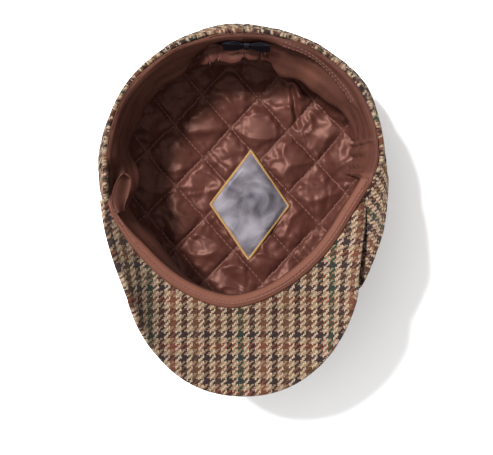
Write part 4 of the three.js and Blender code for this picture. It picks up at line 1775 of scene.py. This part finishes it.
    @staticmethod
    def smooth(piece: Piece, on_seam: Array) -> None:
        """Smooths the cells once more and leaves the seams as sharp valleys."""
        mesh = piece.data
        edges = np.zeros(len(mesh.edges) * 2, np.int32)
        mesh.edges.foreach_get("vertices", edges)
        seam = np.append(on_seam, np.zeros(len(on_seam), bool))[edges.reshape(-1, 2)].all(axis=1)
        crease = mesh.attributes.new("crease_edge", "FLOAT", "EDGE")
        crease.data.foreach_set("value", seam.astype(np.float32) * 0.8)
        modifier = piece.modifiers.new("smooth", "SUBSURF")
        modifier.levels = modifier.render_levels = 1
        depsgraph = bpy.context.evaluated_depsgraph_get()
        finer = bpy.data.meshes.new_from_object(piece.evaluated_get(depsgraph))
        piece.modifiers.remove(modifier)
        piece.data = finer
        bpy.data.meshes.remove(mesh)

    def quilt(self, thread: Material) -> None:
        """Sews the seams of the lattice."""
        sides = np.array([self.first_side, self.second_side])
        flats, runs = [], []
        for seam_side, other in ((0, 1), (1, 0)):
            length = float(np.linalg.norm(sides[seam_side]))
            number = int(2 * self.cells * length / self.stitch_pitch)
            share = (np.arange(number) + 0.5) / number * 2 * self.cells - self.cells
            for line in range(-self.cells, self.cells + 1):
                start = np.array(self.origin) + line * sides[other]
                flats.append(start + share[:, None] * sides[seam_side])
                runs.append(np.tile(unit(sides[seam_side]), (number, 1)))
        flat, run = np.concatenate(flats), np.concatenate(runs)
        _, _, distance, rim = self.bowl.place(flat)
        shown = (distance < rim - 3 * MM) & (self.label.inside(flat) > 1.04)
        flat, run = flat[shown], run[shown]
        at, up = self.seated(flat)
        ahead, _ = self.seated(flat + run * MM)
        at = at + up * (0.35 * MM - self.sunk)
        sewn = self.stitches.sew(at, unit(ahead - self.seated(flat)[0]), up, thread)
        put_in_place(sewn, "satin")


# ---- bow


@dataclass(frozen=True)
class Bow:
    """A small dark ribbon bow on the sweatband at the back: two flat loops and a knot."""

    sweatband: Sweatband
    middle: float = math.radians(1.7)
    down: float = 9.5 * MM
    loop: float = 18 * MM
    width: float = 10.5 * MM
    pinch: float = 0.5
    rise: float = 1.9 * MM
    ribbon: float = 0.5 * MM
    knot_width: float = 4 * MM
    knot_height: float = 6.4 * MM
    clear: float = 1.3 * MM  # from the sweatband
    open_angle: float = 0.06  # how far short of closed the ribbon's turn stops, at each end

    def on_band(self, across: Array, up: Array, lift: Array) -> Array:
        """Points over the sweatband: across the bow, up towards the opening, and out of it."""
        path = np.array(self.sweatband.back_path[1:]) * MM
        down = self.down - up
        out = np.interp(down, path[:, 1], path[:, 0]) - self.clear - lift
        return sweep(self.middle + across / OPENING.back, out, down)

    def band(self, name: str, across: Array, up: Array, lift: Array) -> Piece:
        """A strip of ribbon from its length's places, shaped (columns, rows)."""
        face = self.on_band(across, up, lift)
        return cloth_wall(name, face, face + surface_normals(face) * self.ribbon, laid_flat(face))

    def build(self, ribbon: Material) -> None:
        columns, rows = 60, 12
        turns = np.linspace(self.open_angle, 2 * math.pi - self.open_angle, columns)
        turn, side = np.meshgrid(turns, np.linspace(-1, 1, rows), indexing="ij")
        reach = (1 - np.cos(turn)) / 2
        knot = self.band(
            "bow_knot",
            side * self.knot_width / 2,
            np.sin(turn) * self.knot_height / 2,
            self.rise * (0.55 - 0.65 * np.cos(turn)) + 0.2 * MM * np.cos(side * 1.5),
        )
        put_in_place(dress(knot, ribbon), "ribbon")
        loops = []
        for hand, name in ((-1, "bow_loop_left"), (1, "bow_loop_right")):
            tall = self.width / 2 * lerp(self.pinch, 1, smoothstep(reach, 0.05, 0.6))
            puff = np.sin(turn) * 0.5 * self.rise * (0.35 + 0.65 * np.sin(math.pi * reach))
            lift = self.rise * 0.5 - puff * hand
            droop = -0.8 * MM * reach * hand + 0.35 * MM * np.sin(side * 4) * reach
            loops.append(self.band(name, hand * reach * self.loop, side * tall + droop, lift))
        put_in_place(dress(loops[0], ribbon), "ribbon", "back_bow")
        put_in_place(dress(loops[1], ribbon), "ribbon")


# ---- light and camera


@dataclass(frozen=True)
class Studio:
    """A pale floor, one soft key light from the upper left, an even fill, and the camera."""

    floor_size: float = 6.0
    floor_colour: str = "FEFEFE"
    key_direction: tuple[float, float, float] = (0.52, -0.385, -1.0)
    key_strength: float = 7.5
    key_spread: float = math.radians(10)
    fill_low: float = 0.75
    fill_high: float = 1.4
    fill_toward: tuple[float, float, float] = (-0.55, 0.4, 0.73)
    camera_place: tuple[float, float, float] = (2.1 * MM, -13.8 * MM, 1.1)
    lens: float = 110.1
    sensor: float = 36.0

    def floor(self) -> None:
        """Lays the floor."""
        half = self.floor_size / 2
        corners = np.array([(-half, -half, 0), (half, -half, 0), (half, half, 0), (-half, half, 0)])
        floor = new_object("studio_floor", corners, [(0, 1, 2, 3)])
        material, _, shader = new_material("matt_paper")
        shader.inputs["Base Color"].default_value = linear(self.floor_colour)
        shader.inputs["Roughness"].default_value = 0.9
        shader.inputs["Specular IOR Level"].default_value = 0.1
        dress(floor, material)

    def light(self) -> None:
        """Sets the key light and the fill."""
        key = bpy.data.lights.new("key", "SUN")
        key.energy = self.key_strength
        key.angle = self.key_spread
        way = Vector(self.key_direction)
        linked("key", key).rotation_euler = way.to_track_quat("-Z", "Y").to_euler()
        world = bpy.data.worlds.new("soft_fill")
        world.use_nodes = True
        tree = world.node_tree
        place = add_node(tree, "ShaderNodeTexCoord").outputs["Generated"]
        links = {0: place, 1: Vector(self.fill_toward).normalized()}
        toward = add_node(tree, "ShaderNodeVectorMath", links, operation="DOT_PRODUCT")
        share = maths(tree, "MAXIMUM", toward.outputs["Value"], 0.0)
        square = maths(tree, "MULTIPLY", share, share)
        gain = self.fill_high - self.fill_low
        strength = maths(tree, "MULTIPLY_ADD", square, gain, self.fill_low)
        tree.links.new(strength, tree.nodes["Background"].inputs["Strength"])
        tree.nodes["Background"].inputs["Color"].default_value = linear("FFFFFF")
        bpy.context.scene.world = world

    def build(self) -> None:
        """Makes the floor, the lights and the camera."""
        self.floor()
        self.light()
        data = bpy.data.cameras.new("camera")
        data.lens = self.lens
        data.sensor_width = self.sensor
        camera = linked("camera", data)
        camera.location = self.camera_place
        bpy.context.scene.camera = camera
        bpy.context.scene.view_settings.view_transform = "Standard"


def main() -> None:
    """Builds the cap, a sub-assembly at a time, and then its studio."""
    logging.basicConfig(level=logging.INFO, format="%(message)s")
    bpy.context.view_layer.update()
    tweed = WoolTweed().material()
    lining_satin = Satin("lining_satin", "40241E", "371D18", "CB9A8C").material()
    # each satin's two colours are painted sheen and shade in patches; the label's lie far apart
    label_satin = Satin(
        "label_satin", "6F696E", "28232A", "C4C4D0", roughness=0.45, contrast=2.9
    ).material()
    # the second colour is the paler one, used for uneven dye and for painted light
    band_cloth = TwillTape("sweatband_twill", "45271F", "613C30").material()
    grosgrain = TwillTape("grosgrain", "131219", "191820", rib=0.9 * MM, slope=0.0).material()
    brown_thread = TwistedThread("brown_thread", "5D3930").material()
    gold_thread = TwistedThread("gold_thread", "8C6A3A", roughness=0.4, metallic=0.1).material()

    label, sweatband = Label(), Sweatband()
    Crown().build(tweed)
    Button().build(tweed)
    Headband().build(tweed)
    Peak().build(tweed)
    sweatband.build(band_cloth, brown_thread)
    Lining(label).build(lining_satin, brown_thread)
    label.build(label_satin, gold_thread)
    Bow(sweatband).build(grosgrain)
    Studio().build()


if __name__ == "__main__":
    main()
